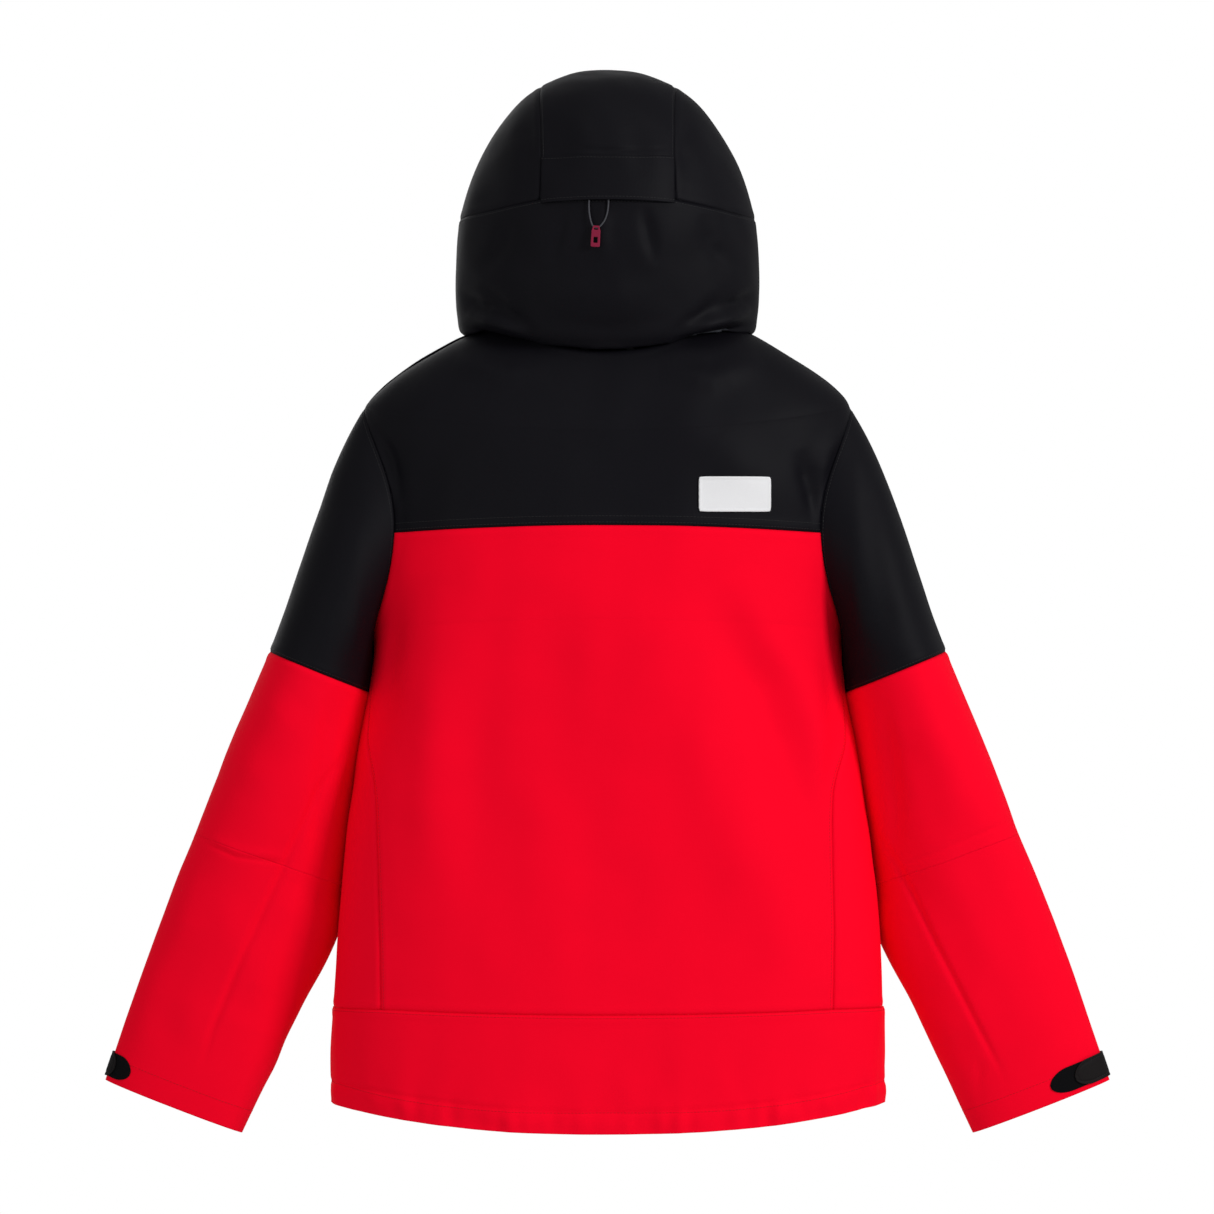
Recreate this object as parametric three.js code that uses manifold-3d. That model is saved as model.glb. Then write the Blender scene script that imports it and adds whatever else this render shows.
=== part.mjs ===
// Hardshell jacket with a helmet-size hood, standing as if worn, in millimetres, +Z up.
// The front faces -Y, the wearer's left is +X, and the origin is the point that bears on a hook.
import * as THREE from "three";
import { mergeVertices } from "three/addons/utils/BufferGeometryUtils.js";
import Module from "manifold-3d";

const wasm = await Module();
wasm.setup();

// ---------------------------------------------------------------- driving dimensions
// The garment hangs below and behind the hook: its own zero is the back neck seam.
const LOOP_RISE = 12;
const LOOP_STANDOFF = 12;
const FABRIC = 2.4;
const SEAM_GAP = 0.4;
const CLEARANCE = 0.4;

// Body, measured from the back neck seam.
const HEM_BACK = -758;
const HEM_SIDE = -732;
const HEM_FRONT = -722;
const HEM_HALF_WIDTH = 269;
const CHEST_HALF_WIDTH = 227;
const SHOULDER_HALF_WIDTH = 240;
const SHOULDER_DROP = -75;
const NECK_HALF_WIDTH = 95;
const NECK_SIDE_RISE = 28;
const NECK_FRONT_DROP = -62;
const MIDDLE_Y = -88;
const BACK_DEPTH = 28;
const FRONT_HEM_Y = -238;
const COLLAR_TOP_FRONT = 36;
const COLLAR_TOP_FRONT_Y = -168;
const COLLAR_HEIGHT = 68;
const COLLAR_THICK = 4;

// Seams of the body.
const YOKE_SEAM = -170;
const YOKE_SEAM_DIP = -8;
const FRONT_YOKE_SEAM = -150;
const FRONT_YOKE_DIP = -36;
const LOWER_SEAM = -639;
const SIDE_SEAM_HALF = 220;
const SIDE_PANEL_TOP = -378;

// Sleeves: the elbow and the colour seam are at these shares of the sections below.
const ARMHOLE_DEPTH = 84;
const SLEEVE_ROOT_Y = -80;
const SLEEVE_FORWARD = -42;
const COLOUR_SEAM_LEVEL = 2;
const ELBOW_LEVEL = 4;

// Hood.
const HOOD_HALF_WIDTH = 148;
const HOOD_TOP = 275;
const HOOD_BACK = 38;
const HOOD_BRIM_Y = -214;
const HOOD_CHIN_Y = -172;
const HOOD_SEAM = 140;
const HOOD_CROWN_HALF = 65;
const HOOD_COLLAR_GAP = 104;
const BRIM_LENGTH = 34;
const FLAP_LIFT = 4.6;
const FLAP_OVERLAP = 8;
const FLAP_HEIGHT = 46;
const FLAP_THICK = 1.4;
const ADJUSTER_RISE = 14;
const ADJUSTER_DROP = 24;
const ADJUSTER_X = 8;
const PULL_WIDTH = 9;
const PULL_LENGTH = 20;
const PULL_THICK = 3;
const PULL_WINDOW = 4;

// Zips.
const ZIP_HALF_WIDTH = 12;
const ZIP_THICK = 1.4;
const POCKET_ZIP_HALF_WIDTH = 8;
const SLIDER_LENGTH = 13;
const SLIDER_WIDTH = 9;
const SLIDER_THICK = 3.2;
const BAIL_THICK = 1.2;
const BAIL_GAP = 2.6;
const BAIL_WIDTH = 2;
const PULLER_WIDTH = 7;
const PULLER_THICK = 1.6;
const PULLER_LENGTH = 30;
const STORM_FLAP_WIDTH = 44;
const STORM_FLAP_THICK = 1.8;

// Cuff tabs, patch, cords.
const TAB_WIDTH = 29;
const TAB_THICK = 1.8;
const LOOP_PILE_THICK = 0.8;
const TAB_ABOVE_HEM = 8;
const PILE_LIFT = 0.9;
const BADGE_WIDTH = 70;
const BADGE_HEIGHT = 34;
const BADGE_THICK = 1.4;
const HOOD_CORD = 1.6;
const HEM_CORD = 3;
const HEM_CORD_RISE = 14;
const HEM_ROOM = 4.5;
const LOCK_HEIGHT = 18;
const LOCK_DEPTH = 9;
const LOCK_LENGTH = 12;
const LOCK_BORE = 4.2;
const BUTTON_DIAMETER = 5.6;
const BUTTON_RISE = 5;
const BUTTON_SEAT = 6;

const BLACK = { color: 0x15151a, roughness: 0.72, metalness: 0 };
const RED = { color: 0xec0026, roughness: 0.7, metalness: 0 };
const TRIM = { color: 0x0c0c0e, roughness: 0.6, metalness: 0 };
const METAL = { color: 0x2b2c30, roughness: 0.35, metalness: 0.8 };
const BERRY = { color: 0x69142e, roughness: 0.5, metalness: 0 };
const LINING = { color: 0x3c3e44, roughness: 0.8, metalness: 0 };
const WHITE = { color: 0xe6e6e6, roughness: 0.85, metalness: 0 };

// ---------------------------------------------------------------- small tools
const jacket = new THREE.Group();
const garment = new THREE.Group();
garment.position.set(0, LOOP_STANDOFF, -LOOP_RISE);
jacket.add(garment);

const vec = (x, y, z) => new THREE.Vector3(x, y, z);

function addMesh(parent, name, geometry, look) {
  const mesh = new THREE.Mesh(geometry, new THREE.MeshStandardMaterial(look));
  mesh.name = name;
  parent.add(mesh);
  return mesh;
}

// Shared vertices, position only, no triangle folded to a line.
function weld(geometry) {
  const plain = geometry.index ? geometry.toNonIndexed() : geometry;
  const bare = new THREE.BufferGeometry().setAttribute("position", plain.getAttribute("position"));
  const merged = mergeVertices(bare, 1e-4);
  const kept = [];
  for (let i = 0; i < merged.index.count; i += 3) {
    const [a, b, c] = [0, 1, 2].map((k) => merged.index.getX(i + k));
    if (a !== b && b !== c && c !== a) kept.push(a, b, c);
  }
  return merged.setIndex(kept);
}

function toSolid(geometry) {
  const g = weld(geometry);
  const vertProperties = new Float32Array(g.getAttribute("position").array);
  const triVerts = new Uint32Array(g.index.array);
  const made = new wasm.Manifold(new wasm.Mesh({ numProp: 3, vertProperties, triVerts }));
  if (made.volume() >= 0) return made;
  for (let i = 0; i < triVerts.length; i += 3) {
    [triVerts[i], triVerts[i + 1]] = [triVerts[i + 1], triVerts[i]];
  }
  return new wasm.Manifold(new wasm.Mesh({ numProp: 3, vertProperties, triVerts }));
}

// The largest body of a solid: a cut can leave slivers behind.
function toGeometry(solid) {
  const bodies = solid.decompose().sort((a, b) => b.volume() - a.volume());
  const mesh = bodies[0].getMesh();
  const positions = new Float32Array(mesh.vertProperties);
  return new THREE.BufferGeometry()
    .setAttribute("position", new THREE.BufferAttribute(positions, 3))
    .setIndex(new THREE.BufferAttribute(new Uint32Array(mesh.triVerts), 1));
}

// Smooth curve through evenly numbered values: place 0 is the first value, place 1 the second.
function through(values, place) {
  const last = values.length - 1;
  const i = Math.max(0, Math.min(Math.floor(place), last - 1));
  const t = place - i;
  const a = values[Math.max(i - 1, 0)];
  const [b, c] = [values[i], values[i + 1]];
  const d = values[Math.min(i + 2, last)];
  return b + 0.5 * t * (c - a + t * (2 * a - 5 * b + 4 * c - d + t * (3 * (b - c) + d - a)));
}

const power = (value, exponent) => Math.sign(value) * Math.abs(value) ** exponent;

// Outward normal of a surface point(row, column), by small steps along it.
function normalOf(point, row, column, facing) {
  const step = 0.004;
  const rowWay = point(Math.min(row + step, 1), column).sub(point(Math.max(row - step, 0), column));
  const columnWay = point(row, column + step).sub(point(row, column - step));
  const normal = columnWay.cross(rowWay);
  if (normal.length() < 1e-6) return vec(0, 0, 1);
  return normal.normalize().multiplyScalar(facing);
}

// Closed solid between a surface pushed out by `outer` and the same surface pushed out by `inner`.
// A surface that goes all round joins its first and last columns; a strip is closed by side walls.
function skin({ point, rows, columns, round, outer, inner, facing = 1 }) {
  const layers = [outer, inner].map((push) => {
    const layer = [];
    for (let r = 0; r <= rows; r += 1) {
      for (let c = 0; c <= columns; c += 1) {
        const column = round ? (c % columns) / columns : c / columns;
        const at = point(r / rows, column);
        layer.push(at.addScaledVector(normalOf(point, r / rows, column, facing), push));
      }
    }
    return layer;
  });
  const [top, under] = layers;
  const triangles = [];
  const quad = (a, b, c, d) => triangles.push(a, b, c, a, c, d);
  const at = (r, c) => r * (columns + 1) + c;
  for (let r = 0; r < rows; r += 1) {
    for (let c = 0; c < columns; c += 1) {
      const corners = [at(r, c), at(r, c + 1), at(r + 1, c + 1), at(r + 1, c)];
      quad(...corners.map((k) => top[k]));
      quad(...corners.reverse().map((k) => under[k]));
    }
  }
  const wall = (a, b) => quad(top[b], top[a], under[a], under[b]);
  for (let c = 0; c < columns; c += 1) {
    wall(at(0, c), at(0, c + 1));
    wall(at(rows, c + 1), at(rows, c));
  }
  for (let r = 0; r < rows && !round; r += 1) {
    wall(at(r + 1, 0), at(r, 0));
    wall(at(r, columns), at(r + 1, columns));
  }
  return toSolid(new THREE.BufferGeometry().setFromPoints(triangles));
}

// The whole volume inside a surface that goes all round, closed flat at both ends.
function filled({ point, rows, columns, outer = 0, facing = 1 }) {
  const rings = [];
  for (let r = 0; r <= rows; r += 1) {
    const ring = [];
    for (let c = 0; c < columns; c += 1) {
      const normal = normalOf(point, r / rows, c / columns, facing);
      ring.push(point(r / rows, c / columns).addScaledVector(normal, outer));
    }
    rings.push(ring);
  }
  const triangles = [];
  const middle = (ring) => ring.reduce((sum, p) => sum.add(p), vec(0, 0, 0)).divideScalar(ring.length);
  const [first, last] = [middle(rings[0]), middle(rings[rows])];
  for (let c = 0; c < columns; c += 1) {
    const next = (c + 1) % columns;
    triangles.push(first, rings[0][next], rings[0][c]);
    triangles.push(last, rings[rows][c], rings[rows][next]);
    for (let r = 0; r < rows; r += 1) {
      const [a, b, d, e] = [rings[r][c], rings[r][next], rings[r + 1][next], rings[r + 1][c]];
      triangles.push(a, b, d, a, d, e);
    }
  }
  return toSolid(new THREE.BufferGeometry().setFromPoints(triangles));
}

// Cutting block with an outline of [x, z] corners, from the plane y = from to the plane y = to.
function block(outline, from, to) {
  const shape = new THREE.Shape(outline.map(([x, z]) => new THREE.Vector2(x, z)));
  const geometry = new THREE.ExtrudeGeometry(shape, { depth: to - from, bevelEnabled: false });
  return toSolid(geometry.rotateX(Math.PI / 2).translate(0, to, 0));
}

// Flat piece with an outline of [across, up] corners in its own plane, and one outline per hole.
function plate(outline, thick, holes = []) {
  const shape = new THREE.Shape(outline.map(([x, y]) => new THREE.Vector2(x, y)));
  shape.holes = holes.map((hole) => new THREE.Path(hole.map(([x, y]) => new THREE.Vector2(x, y))));
  return new THREE.ExtrudeGeometry(shape, { depth: thick, bevelEnabled: false });
}

const rectangle = (x0, x1, y0, y1) => [[x0, y0], [x1, y0], [x1, y1], [x0, y1]];

// Outline of a bar with one round end: `length` long from its square end to its round tip.
function roundEnded(width, length, steps = 6) {
  const radius = width / 2;
  const arc = [];
  for (let i = 0; i <= steps; i += 1) {
    const angle = (Math.PI * i) / steps;
    arc.push([radius * Math.cos(angle), length - radius + radius * Math.sin(angle)]);
  }
  return [[-radius, 0], [radius, 0], ...arc];
}

// Round cord along a list of points.
function cord(points, diameter, steps) {
  const path = new THREE.CatmullRomCurve3(points);
  const section = new THREE.Shape();
  const sides = 8;
  for (let i = 0; i < sides; i += 1) {
    const angle = (2 * Math.PI * i) / sides;
    const [x, y] = [(diameter / 2) * Math.cos(angle), (diameter / 2) * Math.sin(angle)];
    if (i === 0) section.moveTo(x, y);
    else section.lineTo(x, y);
  }
  section.closePath();
  return weld(new THREE.ExtrudeGeometry(section, { steps, extrudePath: path }));
}

// ---------------------------------------------------------------- the body surface
// The centre front is one straight line from hem to collar top, so that the zip runs straight.
const FRONT_LEAN = (COLLAR_TOP_FRONT_Y - FRONT_HEM_Y) / (COLLAR_TOP_FRONT - HEM_FRONT);
const frontLine = (z) => FRONT_HEM_Y + FRONT_LEAN * (z - HEM_FRONT);

// Level rings from hem to neck: half width and height at the side, then the back and the front.
const bodyRings = [
  { half: HEM_HALF_WIDTH, side: HEM_SIDE, back: [BACK_DEPTH - 8, HEM_BACK], front: HEM_FRONT },
  { half: HEM_HALF_WIDTH, side: -650, back: [BACK_DEPTH - 6, -655], front: -650 },
  { half: HEM_HALF_WIDTH - 10, side: -520, back: [BACK_DEPTH - 3, -520], front: -520 },
  { half: CHEST_HALF_WIDTH + 16, side: -400, back: [BACK_DEPTH, -400], front: -400 },
  { half: CHEST_HALF_WIDTH, side: -290, back: [BACK_DEPTH, -285], front: -290 },
  { half: CHEST_HALF_WIDTH + 4, side: -180, back: [BACK_DEPTH - 1, -180], front: -205 },
  { half: SHOULDER_HALF_WIDTH, side: SHOULDER_DROP, back: [BACK_DEPTH - 8, -98], front: -150 },
  { half: SHOULDER_HALF_WIDTH - 20, side: -34, back: [BACK_DEPTH - 15, -57], front: -118 },
  { half: NECK_HALF_WIDTH + 55, side: NECK_SIDE_RISE - 17, back: [4, -22], front: -86 },
  { half: NECK_HALF_WIDTH, side: NECK_SIDE_RISE, back: [-2, 0], front: NECK_FRONT_DROP },
];
const BODY_EXPONENT = 2.35;
const BODY_ROWS = 13;
const BODY_COLUMNS = 36;

// Turn 0 is the centre back; a quarter turn on is the wearer's left side.
function ringPoint(half, side, back, backZ, front, frontZ, exponent, turn) {
  const angle = 2 * Math.PI * turn;
  const [across, along] = [Math.sin(angle), Math.cos(angle)];
  const depth = along > 0 ? back - MIDDLE_Y : MIDDLE_Y - front;
  const x = half * power(across, 2 / exponent);
  const y = MIDDLE_Y + depth * power(along, 2 / exponent);
  const z = side * across ** 2 + (along > 0 ? backZ : frontZ) * along ** 2;
  return vec(x, y, z);
}

function bodyPoint(row, turn) {
  const place = row * (bodyRings.length - 1);
  const pick = (get) => through(bodyRings.map(get), place);
  const frontZ = pick((ring) => ring.front);
  return ringPoint(
    pick((ring) => ring.half), pick((ring) => ring.side), pick((ring) => ring.back[0]),
    pick((ring) => ring.back[1]), frontLine(frontZ), frontZ, BODY_EXPONENT, turn,
  );
}

// ---------------------------------------------------------------- the sleeve surface
// Sections down the left sleeve: outer edge [x, z], inner edge [x, z], half depth. They are measured
// from the shoulder point and the side of the chest. The first two start inside the body.
const hung = (x, z, inX, inZ, depth) => ({
  out: [SHOULDER_HALF_WIDTH + x, SHOULDER_DROP + z],
  in: [CHEST_HALF_WIDTH + inX, SHOULDER_DROP + inZ],
  depth,
});
const sleeveSections = [
  hung(-60, -20, -67, -187, ARMHOLE_DEPTH - 32),
  hung(10, -16, 7, -201, ARMHOLE_DEPTH),
  hung(90, -217, 15, -259, 92),
  hung(131, -314, 26, -361, 80),
  hung(162, -395, 41, -447, 66),
  hung(181, -441, 45, -495, 58),
  hung(211, -519, 77, -575, 46),
  hung(252, -637, 131, -689, 31),
];
const SLEEVE_EXPONENT = 2.1;
const SLEEVE_ROWS = 10;
const SLEEVE_COLUMNS = 18;
const LAST_SECTION = sleeveSections.length - 1;

// Turn 0 is the outer edge of the sleeve; a quarter turn on is its back.
function sleeveAt(side) {
  return (row, turn) => {
    const place = row * LAST_SECTION;
    const pick = (get) => through(sleeveSections.map(get), place);
    const [outX, outZ] = [pick((s) => s.out[0]), pick((s) => s.out[1])];
    const [inX, inZ] = [pick((s) => s.in[0]), pick((s) => s.in[1])];
    const angle = 2 * Math.PI * turn;
    const across = power(Math.cos(angle), 2 / SLEEVE_EXPONENT);
    const along = power(Math.sin(angle), 2 / SLEEVE_EXPONENT);
    const x = (outX + inX) / 2 + ((outX - inX) / 2) * across;
    const z = (outZ + inZ) / 2 + ((outZ - inZ) / 2) * across;
    const y = SLEEVE_ROOT_Y + SLEEVE_FORWARD * row ** 2 + pick((s) => s.depth) * along;
    return vec(side * x, y, z);
  };
}

const sides = [
  { name: "left", side: 1, tabStart: -0.24, tabEnd: 0.07 },
  { name: "right", side: -1, tabStart: -0.15, tabEnd: 0.16 },
];

// ---------------------------------------------------------------- body panels
const bodyShell = skin({
  point: bodyPoint, rows: BODY_ROWS, columns: BODY_COLUMNS, round: true, outer: 0, inner: -FABRIC,
  facing: -1,
});
const bodyGrown = filled({
  point: bodyPoint, rows: BODY_ROWS, columns: BODY_COLUMNS, outer: CLEARANCE, facing: -1,
});
const sleeveGrid = { rows: SLEEVE_ROWS, columns: SLEEVE_COLUMNS };
const armVolumes = sides.map(({ side }) =>
  filled({ point: sleeveAt(side), ...sleeveGrid, outer: -FABRIC, facing: -side }));
const openBody = armVolumes.reduce((body, arm) => body.subtract(arm), bodyShell);

const FAR = 400;
const BELOW = -900;
const seamSteps = [-1, -0.75, -0.5, -0.25, 0, 0.25, 0.5, 0.75, 1];
const halfGap = SEAM_GAP / 2;
const backYokeSeam = (x) => YOKE_SEAM + YOKE_SEAM_DIP * (x / SIDE_SEAM_HALF) ** 2;
const frontYokeSeam = (x) => FRONT_YOKE_SEAM + (FRONT_YOKE_DIP * Math.abs(x)) / SIDE_SEAM_HALF;
const seamLine = (seam, shift) => seamSteps.map((s) => [s * FAR, seam(s * FAR) + shift]);
const above = (seam) => [...seamLine(seam, halfGap), [FAR, FAR], [-FAR, FAR]];
const under = (seam) => [...seamLine(seam, -halfGap), [FAR, BELOW], [-FAR, BELOW]];

// The side panel reaches from the lower seam to a point under the arm.
const sidePanelOutline = (side, grow) => [
  [SIDE_SEAM_HALF - grow, LOWER_SEAM - grow], [SIDE_SEAM_HALF + 2 - grow, LOWER_SEAM + 136],
  [SIDE_SEAM_HALF + 4 - grow, LOWER_SEAM + 212], [SIDE_SEAM_HALF + 14 - grow, SIDE_PANEL_TOP + grow],
  [FAR, SIDE_PANEL_TOP + 40 + grow], [FAR, LOWER_SEAM - grow],
].map(([x, z]) => [side * x, z]);

const backHalf = block(rectangle(-FAR, FAR, BELOW, FAR), MIDDLE_Y + halfGap, FAR);
const frontHalf = block(rectangle(-FAR, FAR, BELOW, FAR), -FAR, MIDDLE_Y - halfGap);
const backBody = openBody.intersect(backHalf);
const frontBody = openBody.intersect(frontHalf);
const sideBlocks = sides.map(({ side }) => block(sidePanelOutline(side, SEAM_GAP), -FAR, FAR));
const lowerSeam = () => LOWER_SEAM;
const withoutSides = (solid) => sideBlocks.reduce((rest, b) => rest.subtract(b), solid);

const backYoke = backBody.intersect(block(above(backYokeSeam), -FAR, FAR));
const backLower = backBody.intersect(block(under(backYokeSeam), -FAR, FAR));
const backMiddle = withoutSides(backLower.intersect(block(above(lowerSeam), -FAR, FAR)));
const backHem = backLower.intersect(block(under(lowerSeam), -FAR, FAR));
addMesh(garment, "back_yoke", toGeometry(backYoke), BLACK);
addMesh(garment, "back_panel", toGeometry(backMiddle), RED);
addMesh(garment, "back_hem_panel", toGeometry(backHem), RED);

const frontYokes = frontBody.intersect(block(above(frontYokeSeam), -FAR, FAR));
const frontPanels = withoutSides(frontBody.intersect(block(under(frontYokeSeam), -FAR, FAR)));
const zipEdge = ZIP_HALF_WIDTH + CLEARANCE;
for (const { name, side } of sides) {
  const [nearX, farX] = [side * zipEdge, side * FAR].sort((a, b) => a - b);
  const half = block(rectangle(nearX, farX, BELOW, FAR), -FAR, FAR);
  addMesh(garment, "front_yoke_" + name, toGeometry(frontYokes.intersect(half)), BLACK);
  addMesh(garment, "front_panel_" + name, toGeometry(frontPanels.intersect(half)), RED);
  const panel = openBody.intersect(block(sidePanelOutline(side, 0), -FAR, FAR));
  addMesh(garment, "side_panel_" + name, toGeometry(panel), RED);
}

// ---------------------------------------------------------------- collar and hanger loop
// The collar stands on the neck seam and leans in a little towards its top.
function collarPoint(row, turn) {
  const lift = 1 + row;
  const back = -3 - 8 * row;
  const backZ = lift + (COLLAR_HEIGHT - 2) * row;
  const sideZ = NECK_SIDE_RISE + lift + (COLLAR_HEIGHT - 34) * row;
  const frontZ = NECK_FRONT_DROP + lift + (COLLAR_TOP_FRONT - NECK_FRONT_DROP - 2) * row;
  const half = NECK_HALF_WIDTH - 1 - 6 * row;
  return ringPoint(half, sideZ, back, backZ, frontLine(frontZ) + 1, frontZ, 2.1, turn);
}
const collarShell = skin({
  point: collarPoint, rows: 2, columns: 24, round: true, outer: 0, inner: -COLLAR_THICK, facing: -1,
});
const zipSlot = block(rectangle(-zipEdge, zipEdge, BELOW, FAR), -FAR, MIDDLE_Y);
addMesh(garment, "collar", toGeometry(collarShell.subtract(zipSlot)), BLACK);

const LOOP_HALF = 26;
const LOOP_SECTION = rectangle(-0.6, 0.6, -3, 3);
const loopPath = new THREE.CatmullRomCurve3([
  vec(-LOOP_HALF, 0, -LOOP_RISE - 8), vec(-LOOP_HALF + 3, 0, -LOOP_RISE), vec(-LOOP_HALF / 2, 0, -3),
  vec(0, 0, 0.7), vec(LOOP_HALF / 2, 0, -3), vec(LOOP_HALF - 3, 0, -LOOP_RISE),
  vec(LOOP_HALF, 0, -LOOP_RISE - 8),
]);
const loopShape = new THREE.Shape(LOOP_SECTION.map(([x, y]) => new THREE.Vector2(x, y)));
const loopGeometry = new THREE.ExtrudeGeometry(loopShape, { steps: 20, extrudePath: loopPath });
addMesh(jacket, "hanger_loop", weld(loopGeometry), TRIM);

// ---------------------------------------------------------------- sleeves
const levelRow = (level) => level / LAST_SECTION;

// Part of a sleeve surface between two levels.
const sleevePart = (side, from, to) => (row, turn) =>
  sleeveAt(side)(levelRow(from) + (levelRow(to) - levelRow(from)) * row, turn);

const SLEEVE_GAP_LEVEL = SEAM_GAP / 90;
const UPPER_ROWS = 4;
const MIDDLE_ROWS = 3;
const LOWER_ROWS = 5;
for (const { name, side, tabStart, tabEnd } of sides) {
  const sleeveSkin = (from, to, rows) => skin({
    point: sleevePart(side, from, to), rows, columns: SLEEVE_COLUMNS, round: true,
    outer: 0, inner: -FABRIC, facing: -side,
  });
  const upper = sleeveSkin(0, COLOUR_SEAM_LEVEL - SLEEVE_GAP_LEVEL, UPPER_ROWS).subtract(bodyGrown);
  const middle = sleeveSkin(COLOUR_SEAM_LEVEL, ELBOW_LEVEL - SLEEVE_GAP_LEVEL, MIDDLE_ROWS);
  const lower = sleeveSkin(ELBOW_LEVEL, LAST_SECTION, LOWER_ROWS);
  addMesh(garment, "sleeve_upper_" + name, toGeometry(upper), BLACK);
  addMesh(garment, "sleeve_middle_" + name, toGeometry(middle), RED);
  addMesh(garment, "sleeve_lower_" + name, toGeometry(lower), RED);

  // Cuff tab: a strip wrapped round the outer edge of the cuff, over a strip of loop pile.
  const [nearCuff, cuffEnd] = [sleeveSections[LAST_SECTION - 1].out, sleeveSections[LAST_SECTION].out];
  const cuffLength = Math.hypot(cuffEnd[0] - nearCuff[0], cuffEnd[1] - nearCuff[1]);
  const tabMiddle = LAST_SECTION - (TAB_ABOVE_HEM + TAB_WIDTH / 2) / cuffLength;
  const tabHalf = TAB_WIDTH / 2 / cuffLength;
  const strip = (start, end, half) => (row, column) => {
    const turn = start + (end - start) * column;
    const fromTip = (end - turn) / 0.05;
    const round = fromTip < 1 ? Math.sqrt(Math.max(0.04, 1 - (1 - fromTip) ** 2)) : 1;
    return sleevePart(side, tabMiddle - half * round, tabMiddle + half * round)(row, turn);
  };
  const pile = skin({
    point: strip(tabStart + 0.08, tabEnd + 0.06, tabHalf * 0.8), rows: 1, columns: 14, round: false,
    outer: PILE_LIFT + LOOP_PILE_THICK, inner: PILE_LIFT, facing: -side,
  });
  const tabLift = PILE_LIFT + LOOP_PILE_THICK + CLEARANCE;
  const tab = skin({
    point: strip(tabStart, tabEnd, tabHalf), rows: 2, columns: 14, round: false,
    outer: tabLift + TAB_THICK, inner: tabLift, facing: -side,
  });
  addMesh(garment, "cuff_loop_patch_" + name, toGeometry(pile), TRIM);
  addMesh(garment, "cuff_tab_" + name, toGeometry(tab), TRIM);
}

// ---------------------------------------------------------------- hood
// Level rings of the hood from the neck seam up: half width, side height, back [y, z], front [y, z].
const hoodRings = [
  { half: NECK_HALF_WIDTH + 7, side: NECK_SIDE_RISE + 4, back: [0.5, 1], front: [-150, -30] },
  { half: HOOD_HALF_WIDTH - 12, side: 24, back: [7, 5], front: [-176, -30] },
  { half: HOOD_HALF_WIDTH - 3, side: 38, back: [20, 24], front: [-205, 0] },
  { half: HOOD_HALF_WIDTH, side: 80, back: [HOOD_BACK - 6, 80], front: [-222, 60] },
  { half: HOOD_HALF_WIDTH - 5, side: 135, back: [HOOD_BACK, HOOD_SEAM], front: [-232, 130] },
  { half: HOOD_HALF_WIDTH - 24, side: 192, back: [HOOD_BACK - 10, 198], front: [-238, 188] },
  { half: HOOD_HALF_WIDTH - 56, side: 244, back: [4, 246], front: [-224, 238] },
  { half: 40, side: 270, back: [-42, 268], front: [-170, 262] },
  { half: 0.01, side: HOOD_TOP, back: [-96, HOOD_TOP], front: [-96.01, HOOD_TOP] },
];
const HOOD_EXPONENT = 2.05;
const HOOD_MIDDLE_Y = -96;
const HOOD_ROWS = 12;
const HOOD_COLUMNS = 28;
const HOOD_LAST = hoodRings.length - 1;

function hoodPoint(row, turn) {
  const place = row * HOOD_LAST;
  const pick = (get) => through(hoodRings.map(get), place);
  const angle = 2 * Math.PI * turn;
  const [across, along] = [Math.sin(angle), Math.cos(angle)];
  const behind = along > 0;
  const [backY, frontY] = [pick((r) => r.back[0]), pick((r) => r.front[0])];
  const depth = behind ? backY - HOOD_MIDDLE_Y : HOOD_MIDDLE_Y - frontY;
  const endZ = behind ? pick((r) => r.back[1]) : pick((r) => r.front[1]);
  const x = pick((r) => r.half) * power(across, 2 / HOOD_EXPONENT);
  const y = HOOD_MIDDLE_Y + depth * power(along, 2 / HOOD_EXPONENT);
  return vec(x, y, pick((r) => r.side) * across ** 2 + endZ * along ** 2);
}
const hoodShell = skin({
  point: hoodPoint, rows: HOOD_ROWS, columns: HOOD_COLUMNS, round: true, outer: 0, inner: -FABRIC,
  facing: -1,
});

// The face opening is cut by a leaning plane, and the collar stands in a slot below it.
const faceLean = (HOOD_BRIM_Y - HOOD_CHIN_Y) / (HOOD_TOP - 40);
const faceY = (z) => HOOD_CHIN_Y + faceLean * z;
function facePlane(shift) {
  const [low, high] = [-60, HOOD_TOP + 40];
  const shape = new THREE.Shape([
    new THREE.Vector2(faceY(low) + shift, low), new THREE.Vector2(faceY(high) + shift, high),
    new THREE.Vector2(-FAR, high), new THREE.Vector2(-FAR, low),
  ]);
  const geometry = new THREE.ExtrudeGeometry(shape, { depth: 2 * FAR, bevelEnabled: false });
  geometry.applyMatrix4(new THREE.Matrix4().makeBasis(vec(0, 1, 0), vec(0, 0, 1), vec(1, 0, 0)));
  return toSolid(geometry.translate(-FAR, 0, 0));
}
const collarSlot = block(rectangle(-HOOD_COLLAR_GAP, HOOD_COLLAR_GAP, -60, 78), -FAR, -55);
const hood = hoodShell.subtract(facePlane(0)).subtract(collarSlot);

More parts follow.
